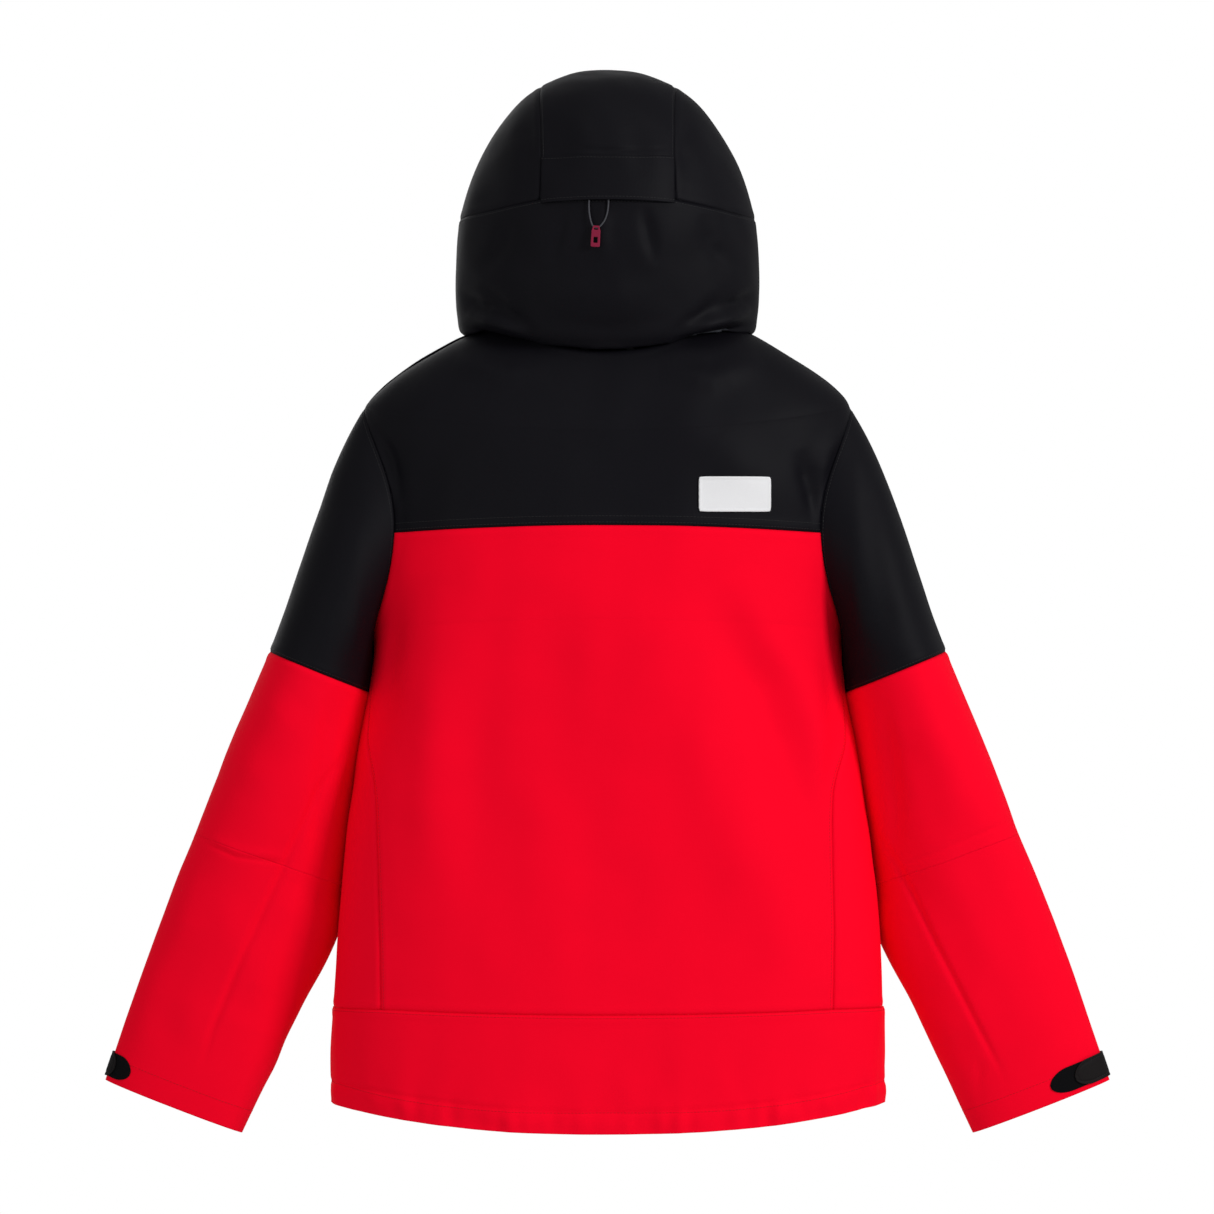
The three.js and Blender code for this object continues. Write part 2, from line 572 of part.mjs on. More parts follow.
// Seams: two long ones over the crown, one level one round the back, one behind the brim.
const crownHalf = HOOD_CROWN_HALF;
const topBlock = (x0, x1, z) => block(rectangle(x0, x1, z + halfGap, FAR), -FAR, FAR);
const lowBlock = block(rectangle(-FAR, FAR, -100, HOOD_SEAM - halfGap), -FAR, FAR);
const brimZone = facePlane(BRIM_LENGTH).intersect(topBlock(-FAR, FAR, HOOD_SEAM));
const upToBrimSeam = facePlane(BRIM_LENGTH + SEAM_GAP).intersect(topBlock(-FAR, FAR, HOOD_SEAM));
const behindBrim = hood.subtract(upToBrimSeam);
const addHood = (name, solid) => addMesh(garment, name, toGeometry(solid), BLACK);
addHood("hood_lower", hood.intersect(lowBlock));
addHood("hood_brim", hood.intersect(brimZone));
addHood("hood_crown", behindBrim.intersect(topBlock(-crownHalf, crownHalf, HOOD_SEAM)));
addHood("hood_side_left", behindBrim.intersect(topBlock(crownHalf + SEAM_GAP, FAR, HOOD_SEAM)));
addHood("hood_side_right", behindBrim.intersect(topBlock(-FAR, -crownHalf - SEAM_GAP, HOOD_SEAM)));

// The crown's lower edge is doubled into a flap that covers the volume adjuster.
const hoodBackAt = (z) => {
  let [low, high] = [0, 1];
  for (let i = 0; i < 30; i += 1) {
    const half = (low + high) / 2;
    if (hoodPoint(half, 0).z < z) low = half;
    else high = half;
  }
  return low;
};
const flapTurn = 0.072;
const flapPoint = (row, column) => {
  const top = hoodBackAt(HOOD_SEAM + FLAP_HEIGHT);
  const bottom = hoodBackAt(HOOD_SEAM - FLAP_OVERLAP);
  return hoodPoint(bottom + (top - bottom) * row, flapTurn * (2 * column - 1));
};
const flap = skin({
  point: flapPoint, rows: 3, columns: 8, round: false, outer: FLAP_LIFT + FLAP_THICK, inner: FLAP_LIFT,
  facing: -1,
});
addMesh(garment, "hood_adjuster_flap", toGeometry(flap), BLACK);

// Elastic loop that comes out from under the flap, and the pull tab that it holds.
const cordY = Math.max(...[0, 10, 20, 30, 40, 50].map((z) =>
  hoodPoint(hoodBackAt(HOOD_SEAM + ADJUSTER_RISE - z), 0).y)) + CLEARANCE + HOOD_CORD / 2;
const onHood = (x, z) => vec(x, cordY, z);
const loopTop = HOOD_SEAM + ADJUSTER_RISE;
const cordBottom = HOOD_SEAM - ADJUSTER_DROP;
const adjusterCord = cord([
  onHood(ADJUSTER_X - 9, loopTop), onHood(ADJUSTER_X - 9, HOOD_SEAM),
  onHood(ADJUSTER_X - 8, HOOD_SEAM - 8), onHood(ADJUSTER_X - 3, cordBottom + 3),
  onHood(ADJUSTER_X + 3, cordBottom), onHood(ADJUSTER_X + 8, cordBottom + 4),
  onHood(ADJUSTER_X + 9.5, HOOD_SEAM - 10), onHood(ADJUSTER_X + 9, HOOD_SEAM),
  onHood(ADJUSTER_X + 9, loopTop),
], HOOD_CORD, 26);
addMesh(garment, "hood_adjuster_cord", adjusterCord, METAL);
const pullHalf = PULL_WIDTH / 2;
const pullTab = plate(
  [[1 - pullHalf, 0], [pullHalf - 1, 0], [pullHalf, -5], [pullHalf, -PULL_LENGTH],
    [-pullHalf, -PULL_LENGTH], [-pullHalf, -5]],
  PULL_THICK, [rectangle(-PULL_WINDOW / 2, PULL_WINDOW / 2, 5 - PULL_LENGTH, 10 - PULL_LENGTH)],
);
pullTab.applyMatrix4(new THREE.Matrix4().makeBasis(vec(-1, 0, 0), vec(0, 0, 1), vec(0, 1, 0)));
const pullTabMesh = addMesh(garment, "hood_adjuster_tab", weld(pullTab), BERRY);
pullTabMesh.position.set(
  ADJUSTER_X + 3, cordY - PULL_THICK / 2, cordBottom - HOOD_CORD / 2 - CLEARANCE,
);

// ---------------------------------------------------------------- badge
const badgeX = -(SIDE_SEAM_HALF - 97);
const badgeZ = YOKE_SEAM + 30;
const badgeAt = vec(badgeX, MIDDLE_Y, badgeZ);
{
  // The patch lies flat on the back yoke, just clear of its rounded surface.
  let y = -Infinity;
  for (let turn = -0.25; turn < 0; turn += 0.002) {
    for (let row = 0.45; row < 0.75; row += 0.004) {
      const p = bodyPoint(row, turn);
      if (Math.abs(p.x - badgeX) < BADGE_WIDTH / 2 && Math.abs(p.z - badgeZ) < BADGE_HEIGHT / 2) {
        y = Math.max(y, p.y);
      }
    }
  }
  badgeAt.y = y + CLEARANCE;
}
const badge = new THREE.BoxGeometry(BADGE_WIDTH, BADGE_THICK, BADGE_HEIGHT);
const badgeMesh = addMesh(garment, "badge_patch", weld(badge), WHITE);
badgeMesh.position.copy(badgeAt).add(vec(0, BADGE_THICK / 2, 0));

// ---------------------------------------------------------------- zips
// A zip's frame: its zero is the top end, -Z runs down the teeth and -Y points out of the cloth.
function zipFrame(parent, top, bottom, outward) {
  const up = top.clone().sub(bottom).normalize();
  const back = outward.clone().negate();
  back.addScaledVector(up, -back.dot(up)).normalize();
  const frame = new THREE.Group();
  frame.applyMatrix4(new THREE.Matrix4().makeBasis(back.clone().cross(up), back, up).setPosition(top));
  parent.add(frame);
  return frame;
}

// Slider: a shield-shaped body with a bail on it, which the puller hangs in.
function sliderGeometry() {
  const [w, l] = [SLIDER_WIDTH / 2, SLIDER_LENGTH];
  const outline = [[-w, 0], [w, 0], [w, -l * 0.35], [w * 0.6, -l], [-w * 0.6, -l], [-w, -l * 0.35]];
  const body = plate(outline, SLIDER_THICK).rotateX(Math.PI / 2);
  const high = BAIL_GAP + BAIL_THICK;
  const [top, bottom] = [-l * 0.2, -l * 0.8];
  const arch = plate(
    [[0.4, top], [-high, top], [-high, bottom], [0.4, bottom]], BAIL_WIDTH,
    [rectangle(-BAIL_GAP, -0.05, bottom + BAIL_THICK, top - BAIL_THICK)],
  );
  arch.applyMatrix4(new THREE.Matrix4().makeBasis(vec(0, 1, 0), vec(0, 0, 1), vec(1, 0, 0)));
  arch.translate(-BAIL_WIDTH / 2, -SLIDER_THICK, 0);
  return toGeometry(toSolid(body).add(toSolid(arch)));
}

// Puller: a flat tab with a window near its top, so that its top bar passes through the bail.
const PULLER_BAR = 1.4;
const WINDOW_LENGTH = 5.6;
const WINDOW_HALF = BAIL_WIDTH / 2 + 0.7;
function pullerGeometry(length) {
  const w = PULLER_WIDTH / 2;
  const n = w * 0.75;
  const windowTop = -PULLER_BAR / 2;
  const window = rectangle(-WINDOW_HALF, WINDOW_HALF, windowTop - WINDOW_LENGTH, windowTop);
  const outline = [
    [-n, PULLER_BAR / 2], [n, PULLER_BAR / 2], [w, -length * 0.4], [w, -length + 2], [w - 2, -length],
    [2 - w, -length], [-w, -length + 2], [-w, -length * 0.4],
  ];
  const flat = plate(outline, PULLER_THICK, [window]).rotateX(Math.PI / 2);
  return weld(flat.translate(0, PULLER_THICK / 2, 0));
}

// The slider stands just off the tape; the puller's bar is in the middle of the bail's opening.
const barPlace = vec(0, -SLIDER_THICK - BAIL_GAP / 2 - CLEARANCE, -SLIDER_LENGTH / 2);
function addSlider(frame, name, length) {
  addMesh(frame, name + "_slider", sliderGeometry(), METAL).position.set(0, -CLEARANCE, 0);
  addMesh(frame, name + "_puller", pullerGeometry(length), METAL).position.copy(barPlace);
}

// Centre front zip, from the top of the collar to just above the hem.
const ZIP_TOP_STOP = 4;
const zipTopZ = COLLAR_TOP_FRONT - 2;
const zipBottomZ = HEM_FRONT + 6;
const zipPoint = (z) => vec(0, frontLine(z) + 1, z);
const centreFrame = zipFrame(garment, zipPoint(zipTopZ), zipPoint(zipBottomZ), vec(0, -1, 0));
const zipLength = zipPoint(zipTopZ).distanceTo(zipPoint(zipBottomZ));
for (const { name, side } of sides) {
  const width = ZIP_HALF_WIDTH - SEAM_GAP / 2;
  const tape = new THREE.BoxGeometry(width, ZIP_THICK, zipLength);
  const mesh = addMesh(centreFrame, "zip_tape_" + name, weld(tape), TRIM);
  mesh.position.set(side * (width / 2 + SEAM_GAP / 2), ZIP_THICK / 2, -zipLength / 2);
}
const stormFlap = new THREE.BoxGeometry(STORM_FLAP_WIDTH, STORM_FLAP_THICK, zipLength - 10);
const STORM_FLAP_DEEP = 9;
addMesh(centreFrame, "storm_flap", weld(stormFlap), BLACK)
  .position.set(0, STORM_FLAP_DEEP + STORM_FLAP_THICK / 2, -zipLength / 2);
const stopped = new THREE.Group();
stopped.position.set(0, 0, -ZIP_TOP_STOP);
centreFrame.add(stopped);
addSlider(stopped, "main_zip", PULLER_LENGTH + 6);

// Pocket zips lie on straight lines just clear of the rounded front; each has a bag inside.
const onBody = (x, z) => {
  let best = null;
  for (let turn = 0.27; turn < 0.5; turn += 0.001) {
    for (let row = 0.1; row < 0.95; row += 0.004) {
      const p = bodyPoint(row, turn);
      const miss = Math.hypot(p.x - x, p.z - z);
      if (!best || miss < best.miss) best = { miss, turn, row };
    }
  }
  return best;
};

function addPocket(name, side, top, bottom, bagDrop) {
  const places = [top, bottom].map(([x, z]) => onBody(x, z));
  const outwards = places.map(({ row, turn }) => normalOf(bodyPoint, row, turn, -1));
  const outward = outwards[0].clone().add(outwards[1]).normalize();
  const stand = 2.6;
  const mirror = (v) => vec(side * v.x, v.y, v.z);
  const [from, to] = places.map(({ row, turn }) => bodyPoint(row, turn).addScaledVector(outward, stand));
  const frame = zipFrame(garment, mirror(from), mirror(to), mirror(outward));
  const length = from.distanceTo(to);
  const tape = new THREE.BoxGeometry(2 * POCKET_ZIP_HALF_WIDTH, ZIP_THICK, length + 16);
  addMesh(frame, name + "_zip_tape", weld(tape), TRIM)
    .position.set(0, ZIP_THICK / 2, -length / 2);
  addSlider(frame, name + "_zip", PULLER_LENGTH);
  const turns = [places[0].turn - 0.012, Math.min(places[0].turn, places[1].turn) + bagDrop.wide];
  const rows = [places[1].row - bagDrop.low, places[0].row + 0.02];
  const bagPoint = (row, column) => {
    const turn = turns[0] + (turns[1] - turns[0]) * column;
    const p = bodyPoint(rows[0] + (rows[1] - rows[0]) * row, turn);
    return p;
  };
  const bag = skin({
    point: (row, column) => mirror(bagPoint(row, column)), rows: 4, columns: 4, round: false,
    outer: -FABRIC - 1.2, inner: -FABRIC - 2.8, facing: -side,
  });
  addMesh(garment, name + "_bag", toGeometry(bag), LINING);
}
for (const { name, side } of sides) {
  addPocket("hand_pocket_" + name, side, [118, -330], [146, -496], { wide: 0.07, low: 0.02 });
}
addPocket("chest_pocket", 1, [100, -186], [100, -296], { wide: 0.05, low: -0.03 });

// ---------------------------------------------------------------- hem drawcord
// It runs inside the hem from one front to the other, through a cord lock near each end.
const HEM_CORD_START = 0.44;
const LOCK_TURN = 0.425;
const cordInset = FABRIC + HEM_ROOM + LOCK_DEPTH / 2;
const hemCordPoint = (turn) => {
  const row = 0.02;
  const p = bodyPoint(row, turn).addScaledVector(normalOf(bodyPoint, row, turn, -1), -cordInset);
  return p.setZ(p.z + HEM_CORD_RISE - 8);
};
const hemCordPoints = [];
for (let i = 0; i <= 24; i += 1) {
  hemCordPoints.push(hemCordPoint(HEM_CORD_START * ((2 * i) / 24 - 1)));
}
addMesh(garment, "hem_drawcord", cord(hemCordPoints, HEM_CORD, 30), TRIM);

for (const { name, side } of sides) {
  const at = hemCordPoint(side * LOCK_TURN);
  const along = hemCordPoint(side * (LOCK_TURN + 0.004)).sub(hemCordPoint(side * (LOCK_TURN - 0.004)));
  const frame = new THREE.Group();
  frame.position.copy(at);
  frame.rotation.z = Math.atan2(along.y, along.x);
  garment.add(frame);
  const low = -LOCK_BORE / 2 - 3;
  const body = plate(rectangle(-LOCK_DEPTH / 2, LOCK_DEPTH / 2, low, low + LOCK_HEIGHT), LOCK_LENGTH);
  body.applyMatrix4(new THREE.Matrix4().makeBasis(vec(0, 1, 0), vec(0, 0, 1), vec(1, 0, 0)));
  body.translate(-LOCK_LENGTH / 2, 0, 0);
  const bore = new THREE.CylinderGeometry(LOCK_BORE / 2, LOCK_BORE / 2, LOCK_LENGTH + 2, 12);
  bore.rotateZ(Math.PI / 2);
  const seatRadius = BUTTON_DIAMETER / 2 + CLEARANCE;
  const seat = new THREE.CylinderGeometry(seatRadius, seatRadius, BUTTON_SEAT + 1, 12);
  seat.rotateX(Math.PI / 2).translate(0, 0, low + LOCK_HEIGHT - BUTTON_SEAT / 2 + 0.5);
  const lock = toSolid(body).subtract(toSolid(bore)).subtract(toSolid(seat));
  addMesh(frame, "hem_cord_lock_" + name, toGeometry(lock), TRIM);
  const buttonRadius = BUTTON_DIAMETER / 2;
  const button = new THREE.CylinderGeometry(buttonRadius, buttonRadius, BUTTON_RISE + 1, 12);
  button.rotateX(Math.PI / 2);
  addMesh(frame, "hem_lock_button_" + name, weld(button), METAL)
    .position.set(0, 0, low + LOCK_HEIGHT + BUTTON_RISE / 2 - 0.5);
}

export default jacket;
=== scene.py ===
import math

import bmesh
import bpy
import numpy as np
from mathutils import Matrix


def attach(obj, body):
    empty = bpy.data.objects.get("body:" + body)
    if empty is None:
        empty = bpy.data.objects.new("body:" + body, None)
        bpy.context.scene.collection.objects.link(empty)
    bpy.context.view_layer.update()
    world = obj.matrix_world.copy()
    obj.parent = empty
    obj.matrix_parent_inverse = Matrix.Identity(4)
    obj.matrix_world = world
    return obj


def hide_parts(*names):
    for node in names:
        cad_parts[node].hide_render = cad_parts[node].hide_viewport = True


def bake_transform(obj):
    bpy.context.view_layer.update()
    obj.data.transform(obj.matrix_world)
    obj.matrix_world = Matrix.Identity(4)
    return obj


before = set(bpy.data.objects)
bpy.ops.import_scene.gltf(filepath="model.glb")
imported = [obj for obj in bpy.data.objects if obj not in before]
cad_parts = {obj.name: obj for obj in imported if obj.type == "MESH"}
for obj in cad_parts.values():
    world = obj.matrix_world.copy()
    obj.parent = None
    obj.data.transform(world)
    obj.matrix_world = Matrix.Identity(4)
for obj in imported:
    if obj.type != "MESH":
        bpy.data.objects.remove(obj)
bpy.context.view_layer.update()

# ---------------------------------------------------------------- camera, light and floor
# A long lens looks straight at the back, level with the middle of the jacket, as in a shop's
# product picture: soft light from all round, a key from the wearer's right, and a pale floor.
VIEW_MIDDLE = (0.0005, -0.088, -0.261)
VIEW_WIDTH = 1.187
VIEW_DISTANCE = 9.0

camera_data = bpy.data.cameras.new("camera")
camera_data.sensor_width = 36.0
camera_data.lens = 36.0 * VIEW_DISTANCE / VIEW_WIDTH
camera_data.clip_end = 60.0
camera = bpy.data.objects.new("camera", camera_data)
camera.location = (VIEW_MIDDLE[0], VIEW_MIDDLE[1] + VIEW_DISTANCE, VIEW_MIDDLE[2])
camera.rotation_euler = (math.radians(90), 0, math.radians(180))
bpy.context.scene.collection.objects.link(camera)
bpy.context.scene.camera = camera
bpy.context.scene.view_settings.view_transform = "Standard"


def linear(hex_colour):
    """sRGB hex to linear: c / 12.92 below 0.04045, else ((c + 0.055) / 1.055) to the power 2.4."""
    value = hex_colour.lstrip("#")
    parts = [int(value[i:i + 2], 16) / 255 for i in (0, 2, 4)]
    return tuple(c / 12.92 if c <= 0.04045 else ((c + 0.055) / 1.055) ** 2.4 for c in parts) + (1.0,)


def node(tree, kind, settings=None, links=None):
    """Add one node; settings are its properties or input values, links are input -> output socket."""
    made = tree.nodes.new(kind)
    for name, value in (settings or {}).items():
        if isinstance(name, str) and hasattr(made, name):
            setattr(made, name, value)
        else:
            made.inputs[name].default_value = value
    for name, socket in (links or {}).items():
        tree.links.new(socket, made.inputs[name])
    return made


world = bpy.data.worlds.new("studio")
world.use_nodes = True
world.node_tree.nodes.clear()
sky = node(world.node_tree, "ShaderNodeBackground", {"Color": (1, 1, 1, 1), "Strength": 0.4})
white = node(world.node_tree, "ShaderNodeBackground", {"Color": (1, 1, 1, 1), "Strength": 1.0})
rays = node(world.node_tree, "ShaderNodeLightPath")
both = node(world.node_tree, "ShaderNodeMixShader", links={
    0: rays.outputs["Is Camera Ray"], 1: sky.outputs[0], 2: white.outputs[0]})
node(world.node_tree, "ShaderNodeOutputWorld", links={"Surface": both.outputs[0]})
bpy.context.scene.world = world


def soft_light(name, place, size, power):
    """A square lamp at `place` that looks at the middle of the jacket."""
    data = bpy.data.lights.new(name, "AREA")
    data.size = size
    data.energy = power
    lamp = bpy.data.objects.new(name, data)
    lamp.location = place
    way = np.array(VIEW_MIDDLE) - np.array(place)
    lamp.rotation_euler = (math.acos(-way[2] / np.linalg.norm(way)), 0, math.atan2(-way[0], way[1]))
    bpy.context.scene.collection.objects.link(lamp)


soft_light("key_light", (-3.4, 2.7, 1.2), 1.1, 116)
soft_light("fill_light", (2.4, 3.2, 0.2), 2.2, 22)
soft_light("top_light", (0.0, 1.2, 2.8), 1.6, 14)
soft_light("front_light", (0.8, -3.4, 0.6), 2.2, 20)

FLOOR_HEIGHT = -1.62
FLOOR_HALF = 2.4
floor_mesh = bpy.data.meshes.new("floor")
floor_mesh.from_pydata(
    [(x * FLOOR_HALF, y * FLOOR_HALF, FLOOR_HEIGHT) for x, y in ((-1, -1), (1, -1), (1, 1), (-1, 1))],
    [], [(0, 1, 2, 3)])
floor = bpy.data.objects.new("floor", floor_mesh)
bpy.context.scene.collection.objects.link(floor)
pale = bpy.data.materials.new("painted_pale_floor")
pale.use_nodes = True
pale.node_tree.nodes["Principled BSDF"].inputs["Base Color"].default_value = linear("e9e8e6")
pale.node_tree.nodes["Principled BSDF"].inputs["Roughness"].default_value = 0.9
floor_mesh.materials.append(pale)

# ---------------------------------------------------------------- materials
# Shell cloth is a fine matt weave in black and in red, with a smooth grey lining on its inside.
# Trim is satin film-coated zip tape, black painted zinc, moulded plastics, webbing and thread.
LOOKS = {}


def cloth_material(name, colour, rough, weave_mm, weave_depth, mottle, gloss=0.16):
    """Woven cloth: two crossed bands of `weave_mm` make the bump, and slow noise shifts the colour
    by the share `mottle`. The cloth's own UV is in metres; a band repeats every 0.314 / scale."""
    made = LOOKS[name] = bpy.data.materials.new(name)
    made.use_nodes = True
    tree = made.node_tree
    shader = tree.nodes["Principled BSDF"]
    uv = node(tree, "ShaderNodeUVMap", {"uv_map": "cloth"}).outputs["UV"]
    place = node(tree, "ShaderNodeTexCoord").outputs["Object"]
    scale = 314.0 / weave_mm
    warp = node(tree, "ShaderNodeTexWave", {"bands_direction": "X", "Scale": scale, "Distortion": 0.6}, {
        "Vector": uv}).outputs["Fac"]
    weft = node(tree, "ShaderNodeTexWave", {"bands_direction": "Y", "Scale": scale, "Distortion": 0.6}, {
        "Vector": uv}).outputs["Fac"]
    weave = node(tree, "ShaderNodeMath", {"operation": "MULTIPLY"}, {0: warp, 1: weft}).outputs[0]
    grain = node(tree, "ShaderNodeTexNoise", {"Scale": 420.0, "Detail": 3.0}, {
        "Vector": place}).outputs["Fac"]
    both_ways = node(tree, "ShaderNodeMath", {"operation": "MULTIPLY_ADD", 1: 0.6}, {
        0: grain, 2: weave}).outputs[0]
    bump = node(tree, "ShaderNodeBump", {"Strength": 0.6, "Distance": weave_depth / 1000}, {
        "Height": both_ways}).outputs["Normal"]
    slow = node(tree, "ShaderNodeTexNoise", {"Scale": 9.0, "Detail": 4.0}, {"Vector": place}).outputs["Fac"]
    tint = node(tree, "ShaderNodeValToRGB", links={"Fac": slow})
    base = np.array(linear(colour)[:3])
    tint.color_ramp.elements[0].position = 0.3
    tint.color_ramp.elements[1].position = 0.7
    tint.color_ramp.elements[0].color = (*(base * (1 - mottle)), 1)
    tint.color_ramp.elements[1].color = (*(base * (1 + mottle)), 1)
    tree.links.new(tint.outputs["Color"], shader.inputs["Base Color"])
    tree.links.new(bump, shader.inputs["Normal"])
    shader.inputs["Roughness"].default_value = rough
    shader.inputs["Specular IOR Level"].default_value = gloss
    return made


def plain_material(name, colour, rough, grain_scale, grain_mm, metal=0.0, specular=0.4):
    """One colour with a fine noise bump of grain_mm depth, for moulded, coated and painted trim."""
    made = LOOKS[name] = bpy.data.materials.new(name)
    made.use_nodes = True
    tree = made.node_tree
    shader = tree.nodes["Principled BSDF"]
    place = node(tree, "ShaderNodeTexCoord").outputs["Object"]
    grain = node(tree, "ShaderNodeTexNoise", {"Scale": grain_scale, "Detail": 4.0}, {"Vector": place})
    bump = node(tree, "ShaderNodeBump", {"Strength": 0.5, "Distance": grain_mm / 1000}, {
        "Height": grain.outputs["Fac"]})
    rub = node(tree, "ShaderNodeMapRange", {"To Min": rough - 0.06, "To Max": rough + 0.06}, {
        "Value": grain.outputs["Fac"]})
    tree.links.new(bump.outputs["Normal"], shader.inputs["Normal"])
    tree.links.new(rub.outputs["Result"], shader.inputs["Roughness"])
    shader.inputs["Base Color"].default_value = linear(colour)
    shader.inputs["Metallic"].default_value = metal
    shader.inputs["Specular IOR Level"].default_value = specular
    return made


# Real weave is about 0.3 mm; 1.3 mm bands keep it readable as cloth and free of moire.
cloth_material("black_cloth", "08070d", 0.6, 1.3, 0.12, 0.10, gloss=0.10)      # soft black, faint shine
cloth_material("red_cloth", "f80024", 0.82, 1.3, 0.10, 0.015, gloss=0.05)     # even, saturated red
cloth_material("grey_lining", "34363c", 0.6, 2.2, 0.05, 0.05)                 # smooth, cool grey
plain_material("black_thread", "0b0b0e", 0.6, 2600, 0.1)                      # fine dark beads
plain_material("red_thread", "c4001b", 0.65, 2600, 0.1, specular=0.15)        # slightly deeper red
plain_material("coated_tape", "0d0d10", 0.42, 900, 0.04)                      # satin zip tape
plain_material("painted_zinc", "1b1c1f", 0.36, 700, 0.03, metal=0.7)          # dark, glossy slider
plain_material("moulded_tab", "0c0708", 0.66, 1500, 0.14, specular=0.15)      # matt cuff rubber
plain_material("loop_pile", "08080a", 0.95, 3800, 0.5, specular=0.1)          # light-eating pile
plain_material("webbing", "141417", 0.7, 1800, 0.2)                           # ribbed loop tape
plain_material("braided_elastic", "3a3a40", 0.6, 3000, 0.25)                  # grey round elastic
plain_material("berry_plastic", "7c1434", 0.45, 500, 0.02, specular=0.2)       # raspberry pull tab
plain_material("black_plastic", "101012", 0.45, 500, 0.03)                    # cord locks
plain_material("white_thread", "e2e2e4", 0.8, 1400, 0.3, specular=0.2)        # dense satin stitch

# ---------------------------------------------------------------- cloth of the back yoke
# The black yoke is cut in one piece from armhole to armhole and up to the neck seam. All panels
# are laminated, lightly padded cloth, sewn edge to edge with the allowances topstitched down.
NECK_SEAM = np.array([0.0, 12.0, -12.0])
MIDDLE_Y = -88.0
SHELL_THICK = 1.6
BODY_SQUARENESS = 2.35


def through(values, place):
    """Catmull-Rom curve through evenly numbered rows; place 0 is the first row. Between rows b and c
    it is b + t/2 * ((c - a) + t * (2a - 5b + 4c - d) + t * t * (d - a + 3(b - c)))."""
    v = np.asarray(values, float)
    last = len(v) - 1
    i = np.clip(np.floor(place).astype(int), 0, last - 1)
    t = place - i
    if v.ndim > 1:
        t = t[..., None]
    a, b, c, d = (v[np.clip(i + k, 0, last)] for k in (-1, 0, 1, 2))
    return b + 0.5 * t * (c - a + t * (2 * a - 5 * b + 4 * c - d + t * (3 * (b - c) + d - a)))


def power(value, exponent):
    """Signed power: sign(value) * |value| ** exponent."""
    return np.sign(value) * np.abs(value) ** exponent


def ring(half, side, back, back_z, front, front_z, middle, exponent, turn):
    """Superellipse ring: across = sin, along = cos of the turn, each to the power 2 / exponent;
    the height goes from the side's to the back's or the front's with the square of the cosine."""
    across, along = np.sin(2 * np.pi * turn), np.cos(2 * np.pi * turn)
    behind = along > 0
    depth = np.where(behind, back - middle, middle - front)
    end_z = np.where(behind, back_z, front_z)
    x = half * power(across, 2 / exponent)
    y = middle + depth * power(along, 2 / exponent)
    return np.stack([x, y, side * across ** 2 + end_z * along ** 2], -1)


# Half width, side height, back depth, back height, front height, from the hem to the neck.
BODY_RINGS = np.array([
    [269, -732, 20, -758, -722], [269, -650, 22, -655, -650], [261, -520, 25, -520, -520],
    [246, -400, 28, -400, -400], [230, -290, 28, -285, -290], [231, -180, 27, -180, -205],
    [240, -75, 20, -98, -150], [220, -34, 13, -57, -118], [150, 11, 4, -22, -86],
    [95, 28, -2, 0, -62]], float)
NECK_LEVEL = 9.0


# Depth and height of the two ends of the centre front.
HEM_FRONT_Y, HEM_FRONT_Z = -238.0, -722.0
COLLAR_FRONT_Y, COLLAR_FRONT_Z = -168.0, 36.0
FRONT_LEAN = (COLLAR_FRONT_Y - HEM_FRONT_Y) / (COLLAR_FRONT_Z - HEM_FRONT_Z)


def front_line(z):
    """Depth of the straight centre front at a height: hem depth + lean * height above the hem."""
    return HEM_FRONT_Y + FRONT_LEAN * (z - HEM_FRONT_Z)


def body(level, turn):
    """Trunk of the jacket: the ring at a level between hem (0) and neck (9); turn 0 is the back."""
    half, side, back, back_z, front_z = np.moveaxis(through(BODY_RINGS, level), -1, 0)
    return ring(half, side, back, back_z, front_line(front_z), front_z, MIDDLE_Y,
                BODY_SQUARENESS, turn)


def bisect(function, low, high, steps=40):
    """Where a rising function crosses zero, by halving the interval, for whole arrays at once."""
    low, high = np.broadcast_arrays(np.asarray(low, float), np.asarray(high, float))
    for _ in range(steps):
        middle = (low + high) / 2
        under = function(middle) < 0
        low, high = np.where(under, middle, low), np.where(under, high, middle)
    return (low + high) / 2


def body_level(turn, height):
    """Level at which the body has the height that height(x) asks for, at each turn."""
    def miss(level):
        point = body(level, turn)
        return point[..., 2] - height(point[..., 0])
    return bisect(miss, np.zeros_like(turn), np.full_like(turn, NECK_LEVEL))


# The armhole is an oval on the side of the body: angle 0 is its top, a quarter turn on its back.
ARMHOLE_MIDDLE_Z, ARMHOLE_HALF_HEIGHT, ARMHOLE_HALF_DEPTH = -163.5, 108.5, 62.0


def armhole(angle):
    """Levels and turns of the armhole seam on the left side of the body."""
    z = ARMHOLE_MIDDLE_Z + ARMHOLE_HALF_HEIGHT * np.cos(angle)
    y = ARMHOLE_HALF_DEPTH * np.sin(angle)

    def turn_at(level):
        half, side, back, back_z, front_z = np.moveaxis(through(BODY_RINGS, level), -1, 0)
        depth = np.where(y > 0, back - MIDDLE_Y, MIDDLE_Y - front_line(front_z))
        return np.arccos(power(np.clip(y / depth, -1, 1), BODY_SQUARENESS / 2)) / (2 * np.pi)

    level = bisect(lambda tried: body(tried, turn_at(tried))[..., 2] - z,
                   np.full_like(z, 2.0), np.full_like(z, NECK_LEVEL))
    return np.stack([level, turn_at(level)], -1)


